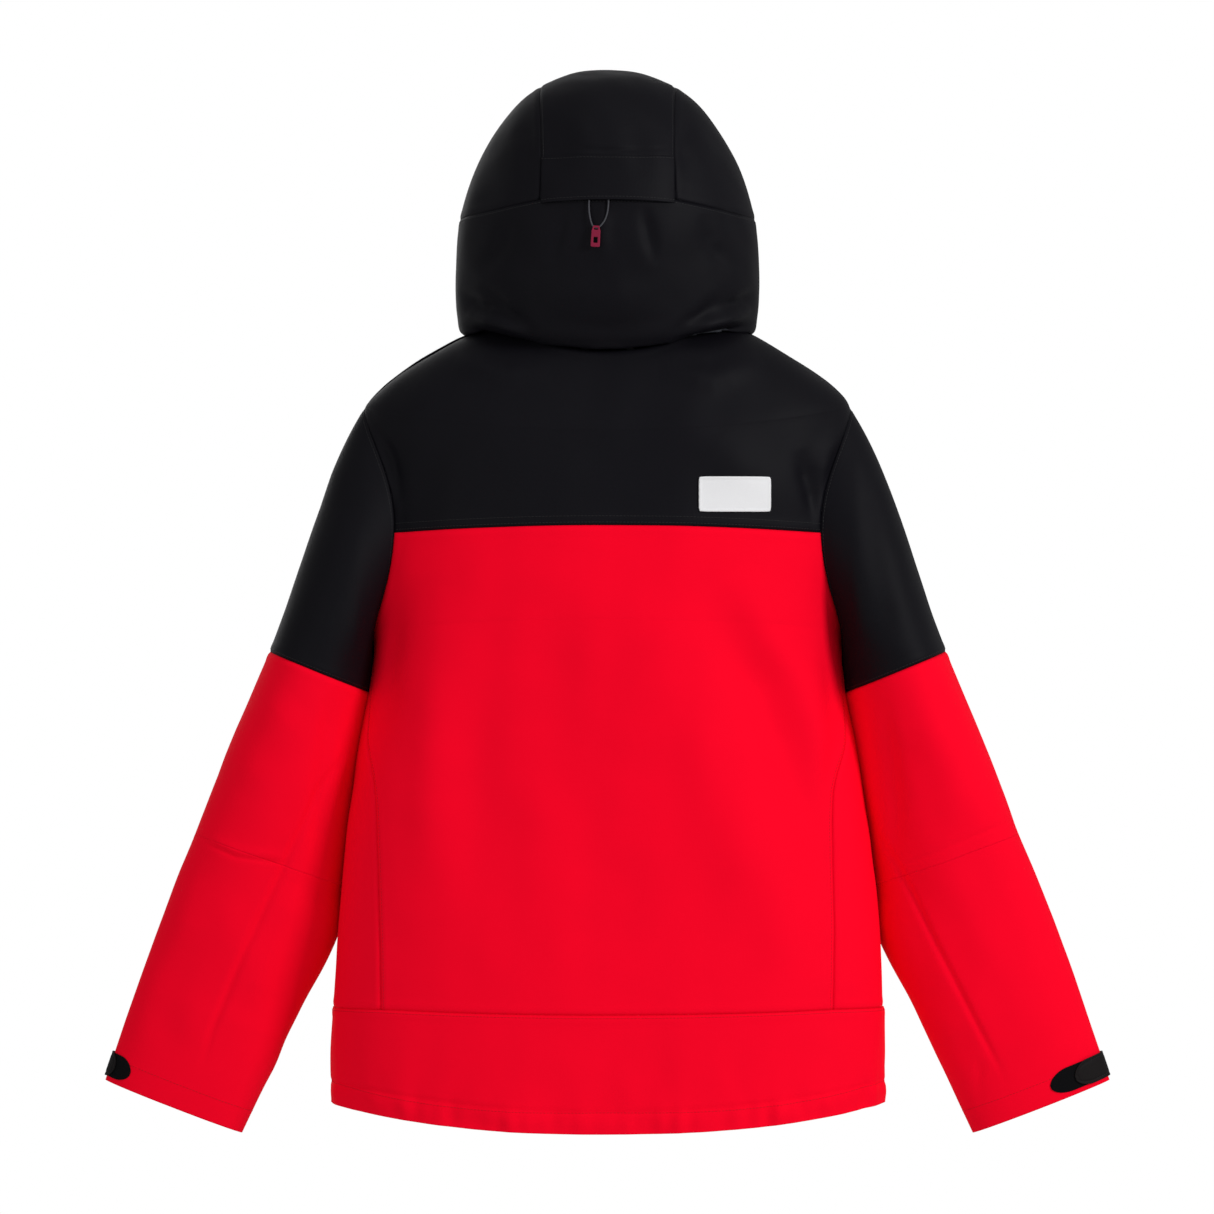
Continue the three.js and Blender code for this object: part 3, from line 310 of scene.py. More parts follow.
def border(surface, params, count=400):
    """Border curve: params at equal shares of the curve's real length, as a function of the share."""
    params = np.asarray(params, float)
    points = surface(params[:, 0], params[:, 1])
    run = np.concatenate([[0], np.cumsum(np.linalg.norm(np.diff(points, axis=0), axis=1))])
    share = np.linspace(0, run[-1], count)
    even = np.stack([np.interp(share, run, params[:, k]) for k in (0, 1)], -1)
    rows = np.arange(count)
    return lambda t: np.stack([np.interp(t * (count - 1), rows, even[:, k]) for k in (0, 1)], -1)


def straight(start, end):
    """Params on the straight line between two param points."""
    return lambda t: np.asarray(start) + (np.asarray(end) - np.asarray(start)) * np.asarray(t)[..., None]


def coons(bottom, top, left, right, across, along):
    """Net of params inside four border curves: the two ruled nets added, less the corners' net."""
    u = np.linspace(0, 1, across + 1)
    v = np.linspace(0, 1, along + 1)
    b, t, l, r = bottom(u)[None], top(u)[None], left(v)[:, None], right(v)[:, None]
    u, v = u[None, :, None], v[:, None, None]
    corners = ((1 - u) * (1 - v) * b[:, :1] + u * (1 - v) * b[:, -1:]
               + (1 - u) * v * t[:, :1] + u * v * t[:, -1:])
    return (1 - v) * b + v * t + (1 - u) * l + u * r - corners


def grid_normals(p):
    """Unit normals of a point grid, from the cross product of its two central differences."""
    n = np.cross(np.gradient(p, axis=1), np.gradient(p, axis=0))
    return n / np.maximum(np.linalg.norm(n, axis=-1, keepdims=True), 1e-9)


def edge_runs(p):
    """Length along the grid from each of its four edges: bottom, top, left, right."""
    rises = np.cumsum(np.linalg.norm(np.diff(p, axis=0), axis=2), 0)
    widths = np.cumsum(np.linalg.norm(np.diff(p, axis=1), axis=2), 1)
    up = np.concatenate([np.zeros((1, p.shape[1])), rises])
    out = np.concatenate([np.zeros((p.shape[0], 1)), widths], 1)
    return {"bottom": up, "top": up[-1:] - up, "left": out, "right": out[:, -1:] - out}


def ripple(p, seed, shortest, longest, stretch=(1, 1, 1), waves=22):
    """Cloth waviness from -1 to 1: a sum of cosines with random ways and wavelengths between two."""
    chance = np.random.default_rng(seed)
    way = chance.normal(size=(waves, 3))
    way /= np.linalg.norm(way, axis=1, keepdims=True)
    length = np.exp(chance.uniform(np.log(shortest), np.log(longest), waves))
    k = 2 * np.pi * way / length[:, None] / np.asarray(stretch)
    weight = length / length.sum()
    phase = chance.uniform(0, 2 * np.pi, waves)
    total = sum(w * np.cos(p @ kk + ph) for w, kk, ph in zip(weight, k, phase))
    return total / np.sqrt((weight ** 2).sum() / 2) / 2.4


def fold(p, line, width, height, soft=0.35):
    """Ridge (or valley) along a line of [x, z] points: height * exp(-(distance / width) ** 2),
    dying out towards both ends over `soft` of its length."""
    line = np.asarray(line, float)
    steps = np.diff(line, axis=0)
    run = np.concatenate([[0], np.cumsum(np.linalg.norm(steps, axis=1))])
    best, share = np.full(p.shape[:-1], 1e9), np.zeros(p.shape[:-1])
    for start, step, at in zip(line, steps, run):
        size = step @ step
        t = np.clip(((p[..., 0] - start[0]) * step[0] + (p[..., 2] - start[1]) * step[1]) / size, 0, 1)
        d = np.hypot(p[..., 0] - start[0] - t * step[0], p[..., 2] - start[1] - t * step[1])
        share = np.where(d < best, (at + t * np.sqrt(size)) / run[-1], share)
        best = np.minimum(best, d)
    ends = np.clip(np.minimum(share, 1 - share) / max(soft, 1e-3), 0, 1) if soft else 1.0
    return height * np.exp(-(best / width) ** 2) * ends


def seam_profile(run, deep=1.1, lift=0.5):
    """Height across a sewn edge: it dips where the cloth is pulled in, then rises to a soft welt."""
    return -deep * np.exp(-(run / 1.8) ** 2) + lift * np.exp(-((run - 5.5) / 3.2) ** 2)


def to_object(name, vertices, faces, uvs=None):
    """Mesh object from local millimetres; uvs are one pair per vertex, in metres."""
    mesh = bpy.data.meshes.new(name)
    mesh.vertices.add(len(vertices))
    mesh.vertices.foreach_set("co", ((vertices + NECK_SEAM) / 1000).astype(np.float32).ravel())
    faces = np.asarray(faces, np.int32)
    mesh.loops.add(faces.size)
    mesh.loops.foreach_set("vertex_index", faces.ravel())
    mesh.polygons.add(len(faces))
    mesh.polygons.foreach_set("loop_start", np.arange(0, faces.size, faces.shape[1], dtype=np.int32))
    mesh.update(calc_edges=True)
    mesh.validate()
    if uvs is not None:
        layer = mesh.uv_layers.new(name="cloth")
        layer.data.foreach_set("uv", uvs[faces.ravel()].astype(np.float32).ravel())
    mesh.polygons.foreach_set("use_smooth", np.ones(len(mesh.polygons), bool))
    made = bpy.data.objects.new(name, mesh)
    bpy.context.scene.collection.objects.link(made)
    return made


def grid_faces(rows, columns, first=0, wrap=False):
    """Quads of a grid with rows x columns cells, whose vertices run row by row."""
    width = columns if wrap else columns + 1
    r, c = np.meshgrid(np.arange(rows), np.arange(columns), indexing="ij")
    n = (c + 1) % width if wrap else c + 1
    quads = np.stack([r * width + c, r * width + n, (r + 1) * width + n, (r + 1) * width + c], -1)
    return quads.reshape(-1, 4) + first


def armhole_points():
    """Points along both armhole seams, in local millimetres."""
    seam = armhole(np.linspace(0, 2 * np.pi, 181)[:-1])
    left = body(seam[:, 0], seam[:, 1])
    return np.concatenate([left, left * [-1, 1, 1]])


ARMHOLE_POINTS = armhole_points()


def armhole_hold(p):
    """From 0 on an armhole seam to 1 away from it, so that the two cloths meet there exactly."""
    best = np.full(p.shape[:-1], 1e9)
    for q in ARMHOLE_POINTS:
        best = np.minimum(best, ((p - q) ** 2).sum(-1))
    return 1 - np.exp(-best / 7.0 ** 2)


CLOTH = {}


def panel(name, base, outward, sewn=("bottom", "top", "left", "right"), shape=None, thick=SHELL_THICK,
          finish=("black_cloth", "grey_lining"), deep=0.8, lift=0.38, wrap=False, at_armhole=False):
    """One cut of cloth: base + normal * (the sewn edges' profile + shape(base)), thickened inwards,
    with the lining's material on its inner side. `wrap` joins its first and last columns."""
    normal = grid_normals(base)
    middle = normal[tuple(s // 2 for s in base.shape[:2])]
    sign = np.sign(middle @ outward(base[tuple(s // 2 for s in base.shape[:2])]))
    normal = normal * sign
    if wrap:
        joined = normal[:, 0] + normal[:, -1]
        normal[:, 0] = normal[:, -1] = joined / np.linalg.norm(joined, axis=-1, keepdims=True)
    runs = edge_runs(base)
    rise = sum((seam_profile(runs[e], deep, lift) for e in sewn), np.zeros(base.shape[:2]))
    if shape is not None:
        rise = rise + shape(base)
    if at_armhole:
        rise = rise * armhole_hold(base)
    points = base + normal * rise[..., None]
    rows, columns = base.shape[0] - 1, base.shape[1] - 1
    quads = grid_faces(rows, columns)
    if sign < 0:
        quads = quads[:, ::-1]
    uvs = np.stack([runs["left"], runs["bottom"]], -1).reshape(-1, 2) / 1000
    made = to_object(name, points.reshape(-1, 3), quads, uvs)
    solid = made.modifiers.new("cloth_thickness", "SOLIDIFY")
    solid.thickness = thick / 1000
    solid.offset = -1.0
    solid.material_offset = 1
    solid.material_offset_rim = 0
    for look in finish:
        made.data.materials.append(LOOKS[look])
    CLOTH[name] = {"points": points, "normal": normal, "runs": runs}
    return made


def inset_line(name, edge, distance, start=0.0, end=1.0):
    """Points and normals at a distance in from an edge of a panel, between two shares of the edge."""
    cloth = CLOTH[name]
    run, points, normal = cloth["runs"][edge], cloth["points"], cloth["normal"]
    if edge in ("left", "right"):
        run, points, normal = run.T, points.transpose(1, 0, 2), normal.transpose(1, 0, 2)
    if edge in ("top", "right"):
        run, points, normal = run[::-1], points[::-1], normal[::-1]
    count = run.shape[1]
    place = np.array([np.interp(distance, run[:, c], np.arange(len(run))) for c in range(count)])
    low = np.clip(np.floor(place).astype(int), 0, len(run) - 2)
    t = (place - low)[:, None]
    columns = np.arange(count)
    line = points[low, columns] * (1 - t) + points[low + 1, columns] * t
    facing = normal[low, columns]
    keep = slice(int(start * (count - 1)), int(end * (count - 1)) + 1)
    return line[keep], facing[keep]


STITCH_LENGTH, STITCH_PITCH, STITCH_WIDE, STITCH_RISE = 2.6, 3.4, 0.55, 0.3


def stitch_row(name, lines, look="black_thread"):
    """Rows of machine stitches: small six-sided beads, one every pitch along each line."""
    angle = np.linspace(0, 2 * np.pi, 7)[:-1]
    places = []
    for line, facing in lines:
        run = np.concatenate([[0], np.cumsum(np.linalg.norm(np.diff(line, axis=0), axis=1))])
        at = np.arange(STITCH_PITCH / 2, run[-1], STITCH_PITCH)
        middle = np.stack([np.interp(at, run, line[:, k]) for k in range(3)], -1)
        ahead = np.stack([np.interp(at + 0.6, run, line[:, k]) for k in range(3)], -1)
        behind = np.stack([np.interp(at - 0.6, run, line[:, k]) for k in range(3)], -1)
        up = np.stack([np.interp(at, run, facing[:, k]) for k in range(3)], -1)
        way = ahead - behind
        way /= np.maximum(np.linalg.norm(way, axis=1, keepdims=True), 1e-9)
        up /= np.linalg.norm(up, axis=1, keepdims=True)
        places.append((middle, way, up, np.cross(way, up)))
    middle, way, up, side = (np.concatenate([p[k] for p in places]) for k in range(4))
    profile = [(-0.5, 0.35), (-0.3, 1.0), (0.3, 1.0), (0.5, 0.35)]
    rows = [middle[:, None] + way[:, None] * (s * STITCH_LENGTH)
            + up[:, None] * (STITCH_RISE * g * np.sin(angle))[None, :, None]
            + side[:, None] * (STITCH_WIDE / 2 * g * np.cos(angle))[None, :, None] for s, g in profile]
    beads = np.stack(rows, 1)
    quads = grid_faces(3, 6, wrap=True)
    faces = (quads[None] + (np.arange(len(beads)) * 24)[:, None, None]).reshape(-1, 4)
    made = to_object(name, beads.reshape(-1, 3), faces)
    made.data.materials.append(LOOKS[look])
    return made


def turn_where(level, x, front=False):
    """Turn at which the body is x wide of its middle, at each level, on its back or its front."""
    level, x = np.broadcast_arrays(np.asarray(level, float), np.asarray(x, float))
    half = through(BODY_RINGS[:, 0], level)
    turn = np.arcsin(np.clip(power(x / half, BODY_SQUARENESS / 2), -1, 1)) / (2 * np.pi)
    return 0.5 - turn if front else turn


def seam_params(xs, height, front=False):
    """Levels and turns along a seam given as height(x) for a row of x values."""
    xs = np.asarray(xs, float)

    def miss(level):
        return body(level, turn_where(level, xs, front))[..., 2] - height(xs)
    level = bisect(miss, np.zeros_like(xs), np.full_like(xs, 8.6))
    return np.stack([level, turn_where(level, xs, front)], -1)


def drop_params(heights, x_at, front=False):
    """Levels and turns down a seam given as x(z) for a column of z values."""
    heights = np.asarray(heights, float)
    x = x_at(heights)

    def miss(level):
        return body(level, turn_where(level, x, front))[..., 2] - heights
    level = bisect(miss, np.zeros_like(x), np.full_like(x, 8.6))
    return np.stack([level, turn_where(level, x, front)], -1)


def mirrored(params):
    """The same params on the wearer's other side."""
    return params * np.array([1, -1])


YOKE_Z, YOKE_DIP = -170.0, -8.0
LOWER_Z = -639.0
SIDE_SEAM_TURN = 0.25
ZIP_EDGE = 12.6


def yoke_height(x):
    """The back yoke's seam sags a little towards the armholes: z + dip * (x / 220) squared."""
    return YOKE_Z + YOKE_DIP * (x / 220) ** 2


def crossing(height, sign=1):
    """Armhole angle where the seam height(x) meets it, by halving; sign 1 is behind, -1 in front."""
    def miss(angle):
        params = armhole(sign * angle)
        point = body(params[..., 0], params[..., 1])
        return height(point[..., 0]) - point[..., 2]
    return sign * float(bisect(miss, np.array(0.3), np.array(math.pi - 0.3)))


BACK_ANGLE = crossing(yoke_height)
yoke_end = armhole(np.array(BACK_ANGLE))
yoke_end_x = body(yoke_end[0], yoke_end[1])[0]
yoke_seam = seam_params(np.linspace(-yoke_end_x, yoke_end_x, 300), yoke_height)
armhole_upper = armhole(np.linspace(BACK_ANGLE, 0.0, 120))
shoulder_levels = np.linspace(armhole_upper[-1, 0], NECK_LEVEL, 80)
shoulder_seam = np.stack([shoulder_levels, np.full(80, SIDE_SEAM_TURN)], -1)
yoke_side = np.concatenate([armhole_upper, shoulder_seam[1:]])

# Broad soft folds of the back: the cloth hangs from the shoulder blades and leans to one side.
BACK_FOLDS = [
    ([(-78, -206), (-150, -330), (-205, -470), (-235, -560)], 26, -4.5),
    ([(-120, -215), (-190, -330), (-232, -430)], 22, 3.0),
    ([(-20, -230), (-95, -400), (-170, -560), (-200, -640)], 34, 2.6),
    ([(60, -225), (40, -400), (-20, -600)], 40, -2.0),
    ([(150, -230), (175, -380), (160, -560)], 30, 2.6),
    ([(200, -215), (214, -300), (216, -400)], 16, -3.2),
    ([(110, -260), (120, -420), (90, -600)], 30, -1.8),
    ([(-214, -260), (-222, -360), (-222, -480)], 13, -3.0),
    ([(-186, -96), (-196, -130), (-206, -168)], 9, -2.6),
    ([(-236, -70), (-214, -98), (-206, -140)], 10, 1.8),
    ([(232, -74), (216, -104), (206, -150)], 10, -2.4),
    ([(150, -10), (100, -26), (56, -20)], 12, 2.0),
    ([(-150, -10), (-100, -30), (-50, -22)], 12, 2.2),
    ([(-60, -60), (-140, -120), (-190, -160)], 26, 2.0),
    ([(60, -60), (130, -110), (180, -165)], 24, 1.8),
]


def back_shape(p):
    """Folds of the back, with slow waviness over the whole of it and finer waviness near the hem."""
    near_hem = np.exp(-((p[..., 2] + 740) / 60) ** 2)
    rise = 2.1 * sum(fold(p, line, width, height) for line, width, height in BACK_FOLDS)
    rise = rise + 2.6 * ripple(p, 3, 90, 260, (1, 1, 1.7)) + 0.7 * ripple(p, 4, 30, 80, (1, 1, 1.4))
    return rise + near_hem * 0.9 * ripple(p, 5, 16, 46, (1, 1, 2.5))


def outward_body(point):
    """Way out of the body: level, away from its middle."""
    return np.array([point[0], point[1] - MIDDLE_Y, 20.0 if point[2] > -120 else 0.0])


net = coons(border(body, yoke_seam), straight((NECK_LEVEL, -SIDE_SEAM_TURN), (NECK_LEVEL, SIDE_SEAM_TURN)),
            border(body, mirrored(yoke_side)), border(body, yoke_side), 190, 100)
back_yoke = panel("back_yoke_cloth", body(net[..., 0], net[..., 1]), outward_body, shape=back_shape,
                  at_armhole=True)
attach(back_yoke, "torso")
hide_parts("back_yoke")

# ---------------------------------------------------------------- red back, sides and hem
# The red back hangs from the yoke seam; narrow side panels let the body flare, and a separate
# band closes the hem. The sewn lines run straight down from the arm to the band.
PRINCESS_Z = np.array([-639.0, -503.0, -427.0, -377.0])
PRINCESS_X = np.array([219.5, 221.5, 224.5, 234.0])
APEX_Z = PRINCESS_Z[-1]


def princess_x(z):
    """Smooth x of the long seam at heights between the hem band and the point under the arm."""
    return through(PRINCESS_X, np.interp(z, PRINCESS_Z, np.arange(4.0)))


princess_back = drop_params(np.linspace(LOWER_Z, APEX_Z, 160), princess_x)
princess_front = drop_params(np.linspace(LOWER_Z, APEX_Z, 160), princess_x, front=True)
apex_back, apex_front = princess_back[-1], princess_front[-1]


UNDERARM = np.array([armhole(np.array(math.pi))[0], SIDE_SEAM_TURN])


def side_run(start, count=90):
    """Params on the straight run from the long seam's top to the armhole's lowest point, both left out."""
    return (start + (UNDERARM - start) * np.linspace(0, 1, count)[:, None])[1:-1]


def lower_height(x):
    """The seam over the hem band sags 4 mm at the centre back and the centre front."""
    return LOWER_Z - 4 * np.clip(1 - (x / 220) ** 2, 0, 1)


def lower_line(start, end, count=200):
    """Params along the lower seam between two turns."""
    turns = np.linspace(start, end, count)
    return np.stack([body_level(turns, lower_height), turns], -1)


armhole_back_low = armhole(np.linspace(math.pi, BACK_ANGLE, 90))
back_side = np.concatenate([princess_back, side_run(apex_back), armhole_back_low])
lower_seam_back = lower_line(-princess_back[0, 1], princess_back[0, 1], 260)
back_side[0] = lower_seam_back[-1]
net = coons(border(body, lower_seam_back), border(body, yoke_seam),
            border(body, mirrored(back_side)), border(body, back_side), 190, 190)
back_panel = panel("back_panel_cloth", body(net[..., 0], net[..., 1]), outward_body, shape=back_shape,
                   finish=("red_cloth", "grey_lining"), at_armhole=True)
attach(back_panel, "torso")
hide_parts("back_panel")

for side, hand in ((1, "left"), (-1, "right")):
    way = np.array([1, side])
    low = lower_line(princess_back[0, 1], princess_front[0, 1])
    back_edge = np.concatenate([low[:1], princess_back[1:], side_run(apex_back), [UNDERARM]])
    front_edge = np.concatenate([low[-1:], princess_front[1:], side_run(apex_front), [UNDERARM]])
    net = coons(border(body, low * way), straight(UNDERARM * way, UNDERARM * way),
                border(body, back_edge * way), border(body, front_edge * way), 60, 150)
    made = panel("side_panel_cloth_" + hand, body(net[..., 0], net[..., 1]), outward_body, shape=back_shape,
                 sewn=("bottom", "left", "right"), finish=("red_cloth", "grey_lining"), at_armhole=True)
    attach(made, "torso")
    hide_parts("side_panel_" + hand)


def band_shape(p):
    """The hem band: gathers over the drawcord, a channel stitched above it, and the back's folds."""
    x, z = p[..., 0], p[..., 2]
    edge = -732 - 26 * np.clip(1 - (x / 262) ** 2, 0, 1)
    above_edge = z - edge
    channel = (-0.9 * np.exp(-((above_edge - 21) / 2.2) ** 2)
               + 0.8 * np.exp(-((above_edge - 11) / 8) ** 2))
    gather = np.exp(-((above_edge - 8) / 13) ** 2) * 2.8 * ripple(p, 12, 15, 34, (1, 1, 4))
    return back_shape(p) + channel + gather


band_top = lower_line(-SIDE_SEAM_TURN, SIDE_SEAM_TURN, 300)
net = coons(straight((0, -SIDE_SEAM_TURN), (0, SIDE_SEAM_TURN)), border(body, band_top),
            straight((0, -SIDE_SEAM_TURN), band_top[0]), straight((0, SIDE_SEAM_TURN), band_top[-1]),
            240, 50)
band = panel("back_hem_cloth", body(net[..., 0], net[..., 1]), outward_body, sewn=("top", "left", "right"),
             shape=band_shape, finish=("red_cloth", "grey_lining"), deep=0.7)
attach(band, "torso")
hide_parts("back_hem_panel")

# ---------------------------------------------------------------- fronts
# Each front is a black yoke over a long red panel; both end at the zip, and the pocket zips lie
# in welts on the red. The cloth hangs straighter here, held by the zip.
FRONT_FOLDS = [
    ([(60, -210), (90, -330), (110, -470)], 22, 2.0),
    ([(190, -240), (205, -360), (210, -520)], 20, -2.6),
    ([(80, -520), (120, -620), (140, -700)], 24, 2.2),
]


def front_shape(p):
    """Folds of one front, the same on both sides, and a shallow well under each pocket zip."""
    both = p.copy()
    both[..., 0] = np.abs(both[..., 0])
    rise = sum(fold(both, line, width, height) for line, width, height in FRONT_FOLDS)
    rise = rise + fold(both, [(118, -322), (146, -504)], 9, -1.2, soft=0)
    chest = fold(p, [(100, -178), (100, -304)], 9, -1.2, soft=0)
    return rise + chest + 1.4 * ripple(p, 7, 90, 260, (1, 1, 1.7)) + 0.45 * ripple(p, 8, 26, 70)


FRONT_YOKE_Z, FRONT_YOKE_DIP = -150.0, -36.0


def front_yoke_height(x):
    """The front yoke's seam falls evenly from the zip to the armhole."""
    return FRONT_YOKE_Z + FRONT_YOKE_DIP * np.abs(x) / 220


FRONT_ANGLE = crossing(front_yoke_height, -1)
front_end = armhole(np.array(FRONT_ANGLE))
front_end_x = body(front_end[0], front_end[1])[0]
front_seam = seam_params(np.linspace(ZIP_EDGE, front_end_x, 200), front_yoke_height, front=True)
front_seam[-1] = front_end
front_turns = np.linspace(0.25, 0.5, 400)
neck_zip_turn = float(np.interp(-ZIP_EDGE, -body(np.full(400, NECK_LEVEL), front_turns)[:, 0], front_turns))
hem_zip_turn = float(np.interp(-ZIP_EDGE, -body(np.zeros(400), front_turns)[:, 0], front_turns))
zip_levels = np.linspace(0, NECK_LEVEL, 300)
zip_line = np.stack([zip_levels, turn_where(zip_levels, ZIP_EDGE, front=True)], -1)
armhole_front_low = armhole(np.linspace(-math.pi, FRONT_ANGLE, 90))
armhole_front_high = armhole(np.linspace(FRONT_ANGLE, 0.0, 90))
front_low_end = zip_line[np.argmin(np.abs(body(zip_line[:, 0], zip_line[:, 1])[:, 2] - LOWER_Z + 4))]
front_high_end = front_seam[0]
front_low = lower_line(princess_front[0, 1], front_low_end[1])
front_low[-1] = front_low_end
wide_front_low = lower_line(SIDE_SEAM_TURN, front_low_end[1])
wide_front_low[-1] = front_low_end
front_side = np.concatenate([front_low[:1], princess_front[1:], side_run(apex_front), armhole_front_low])

for side, hand in ((1, "left"), (-1, "right")):
    way = np.array([1, side])
    middle_zip = zip_line[(zip_line[:, 0] > front_low_end[0]) & (zip_line[:, 0] < front_high_end[0])]
    zip_side = np.concatenate([[front_low_end], middle_zip, [front_high_end]])
    net = coons(border(body, front_low * way), border(body, front_seam[::-1] * way),
                border(body, front_side * way), border(body, zip_side * way), 110, 120)
    made = panel("front_panel_cloth_" + hand, body(net[..., 0], net[..., 1]), outward_body,
                 shape=front_shape, finish=("red_cloth", "grey_lining"), at_armhole=True)
    low_zip = zip_line[zip_line[:, 0] < front_low_end[0]]
    hem_side = np.concatenate([low_zip, [front_low_end]])
    hem_corner = (0, SIDE_SEAM_TURN * side)
    net = coons(straight(hem_corner, (0, hem_zip_turn * side)), border(body, wide_front_low * way),
                straight(hem_corner, wide_front_low[0] * way), border(body, hem_side * way), 120, 34)
    hem = panel("front_hem_cloth_" + hand, body(net[..., 0], net[..., 1]), outward_body,
                sewn=("top", "left", "right"), shape=front_shape, finish=("red_cloth", "grey_lining"))
    high_zip = zip_line[zip_line[:, 0] > front_high_end[0]]
    neck_side = np.concatenate([[front_high_end], high_zip])
    yoke_edge = np.concatenate([armhole_front_high, shoulder_seam[1:]])
    neck_edge = straight((NECK_LEVEL, SIDE_SEAM_TURN * side), (NECK_LEVEL, neck_zip_turn * side))
    net = coons(border(body, front_seam[::-1] * way), neck_edge,
                border(body, yoke_edge * way), border(body, neck_side * way), 90, 90)
    yoke = panel("front_yoke_cloth_" + hand, body(net[..., 0], net[..., 1]), outward_body,
                 shape=front_shape, at_armhole=True)
    for piece, node_name, look in ((made, "front_panel_", "red_shell"),
                                   (yoke, "front_yoke_", "black_shell")):
        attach(piece, "torso")
        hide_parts(node_name + hand)
    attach(hem, "torso")
    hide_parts("front_panel_" + hand)

# ---------------------------------------------------------------- sleeves
# The sleeve head is set into the armhole and runs down in one black piece to the colour seam;
# below it the sleeve is red, with a curved under-arm seam and a seam behind the elbow.
# Outer x, outer z, inner x, inner z and half depth, from the armhole down to the cuff.
SLEEVE_SECTIONS = np.array([
    [180, -95, 160, -262, 52], [250, -91, 234, -276, 84], [330, -292, 227, -334, 92],
    [371, -389, 243, -436, 80], [402, -470, 257, -522, 66], [421, -516, 264, -570, 58],
    [451, -594, 304, -650, 46], [492, -712, 358, -764, 31]], float)
COLOUR_SEAM, ELBOW, CUFF = 2.0, 4.0, 7.0
SLEEVE_SQUARENESS = 2.1


def sleeve(level, turn, side):
    """Sleeve point: the section's middle plus its half axes times powered cosine and sine of turn;
    turn 0 is the outer edge and a quarter turn on is the back. The inner edge is tucked forward
    beside the trunk, by up to 38 mm halfway down."""
    level, turn = np.broadcast_arrays(np.asarray(level, float), np.asarray(turn, float))
    out_x, out_z, in_x, in_z, depth = np.moveaxis(through(SLEEVE_SECTIONS, level), -1, 0)
    angle = 2 * np.pi * turn
    across = power(np.cos(angle), 2 / SLEEVE_SQUARENESS)
    along = power(np.sin(angle), 2 / SLEEVE_SQUARENESS)
    x = (out_x + in_x) / 2 + (out_x - in_x) / 2 * across
    z = (out_z + in_z) / 2 + (out_z - in_z) / 2 * across
    tucked = 19 * (1 - across) * np.sin(np.pi * np.clip(level / 6.2, 0, 1))
    y = -80 - 42 * (level / CUFF) ** 2 + depth * along - tucked
    return np.stack([side * x, y, z], -1)


def sleeve_head(rise, turn, side):
    """From the armhole (0) to the colour seam (1): a Hermite curve that leaves the armhole partly
    along the body's normal and arrives along the sleeve."""
    seam = armhole(2 * np.pi * turn)
    start = body(seam[..., 0], seam[..., 1])
    step = 0.01
    up = body(seam[..., 0] + step, seam[..., 1]) - body(seam[..., 0] - step, seam[..., 1])
    round_way = body(seam[..., 0], seam[..., 1] + step / 10) - body(seam[..., 0], seam[..., 1] - step / 10)
    normal = np.cross(up, round_way)
    normal /= np.linalg.norm(normal, axis=-1, keepdims=True)
    normal *= np.sign(normal[..., :1])
    end = sleeve(np.full_like(turn, COLOUR_SEAM), turn, 1)
    arrive = (sleeve(COLOUR_SEAM + 0.02, turn, 1) - end) / 0.02
    span = np.linalg.norm(end - start, axis=-1, keepdims=True)
    swell = 0.1 + 0.1 * np.cos(2 * np.pi * turn) + 0.24 * np.sin(2 * np.pi * turn) ** 2
    leave = 0.9 * (end - start) + swell[..., None] * span * normal
    arrive = arrive / np.linalg.norm(arrive, axis=-1, keepdims=True) * span
    t = rise[..., None]
    point = ((2 * t ** 3 - 3 * t ** 2 + 1) * start + (t ** 3 - 2 * t ** 2 + t) * leave
             + (3 * t ** 2 - 2 * t ** 3) * end + (t ** 3 - t ** 2) * arrive)
    return point * np.array([side, 1, 1])


# Creases on the sleeves, seen from behind, as x and z on each side, with width and height.
SLEEVE_FOLDS = {
    "left": [([(214, -150), (232, -230), (250, -300)], 16, 2.2),
             ([(262, -120), (282, -210), (300, -290)], 20, -2.0),
             ([(266, -330), (280, -420), (282, -500)], 9, -2.6),
             ([(243, -372), (282, -430), (318, -510), (356, -590), (385, -660), (402, -722)], 3.4, -2.2),
             ([(392, -470), (360, -486), (310, -492)], 5.0, 0.8),
             ([(398, -474), (362, -492), (306, -500)], 2.6, -1.1),
             ([(300, -340), (346, -380), (368, -420)], 20, 1.8),
             ([(330, -560), (380, -640), (420, -700)], 26, 1.8),
             ([(300, -520), (330, -590), (352, -640)], 14, 2.2),
             ([(402, -560), (424, -630), (440, -690)], 18, -1.6)],
    "right": [([(214, -150), (236, -230), (256, -300)], 16, 2.6),
              ([(250, -110), (262, -200), (276, -290)], 14, -2.6),
              ([(266, -340), (280, -440), (282, -500)], 8, -2.2),
              ([(249, -446), (284, -502), (320, -578), (358, -652), (386, -706), (400, -748)], 3.2, -2.4),
              ([(396, -456), (350, -474), (284, -502)], 2.6, -0.8),
              ([(364, -690), (362, -716), (366, -748)], 5.0, -3.0),
              ([(300, -350), (350, -410), (380, -470)], 22, 2.0),
              ([(300, -470), (352, -560), (400, -640)], 24, 2.2),
              ([(420, -560), (446, -630), (462, -690)], 16, -1.8)],
}


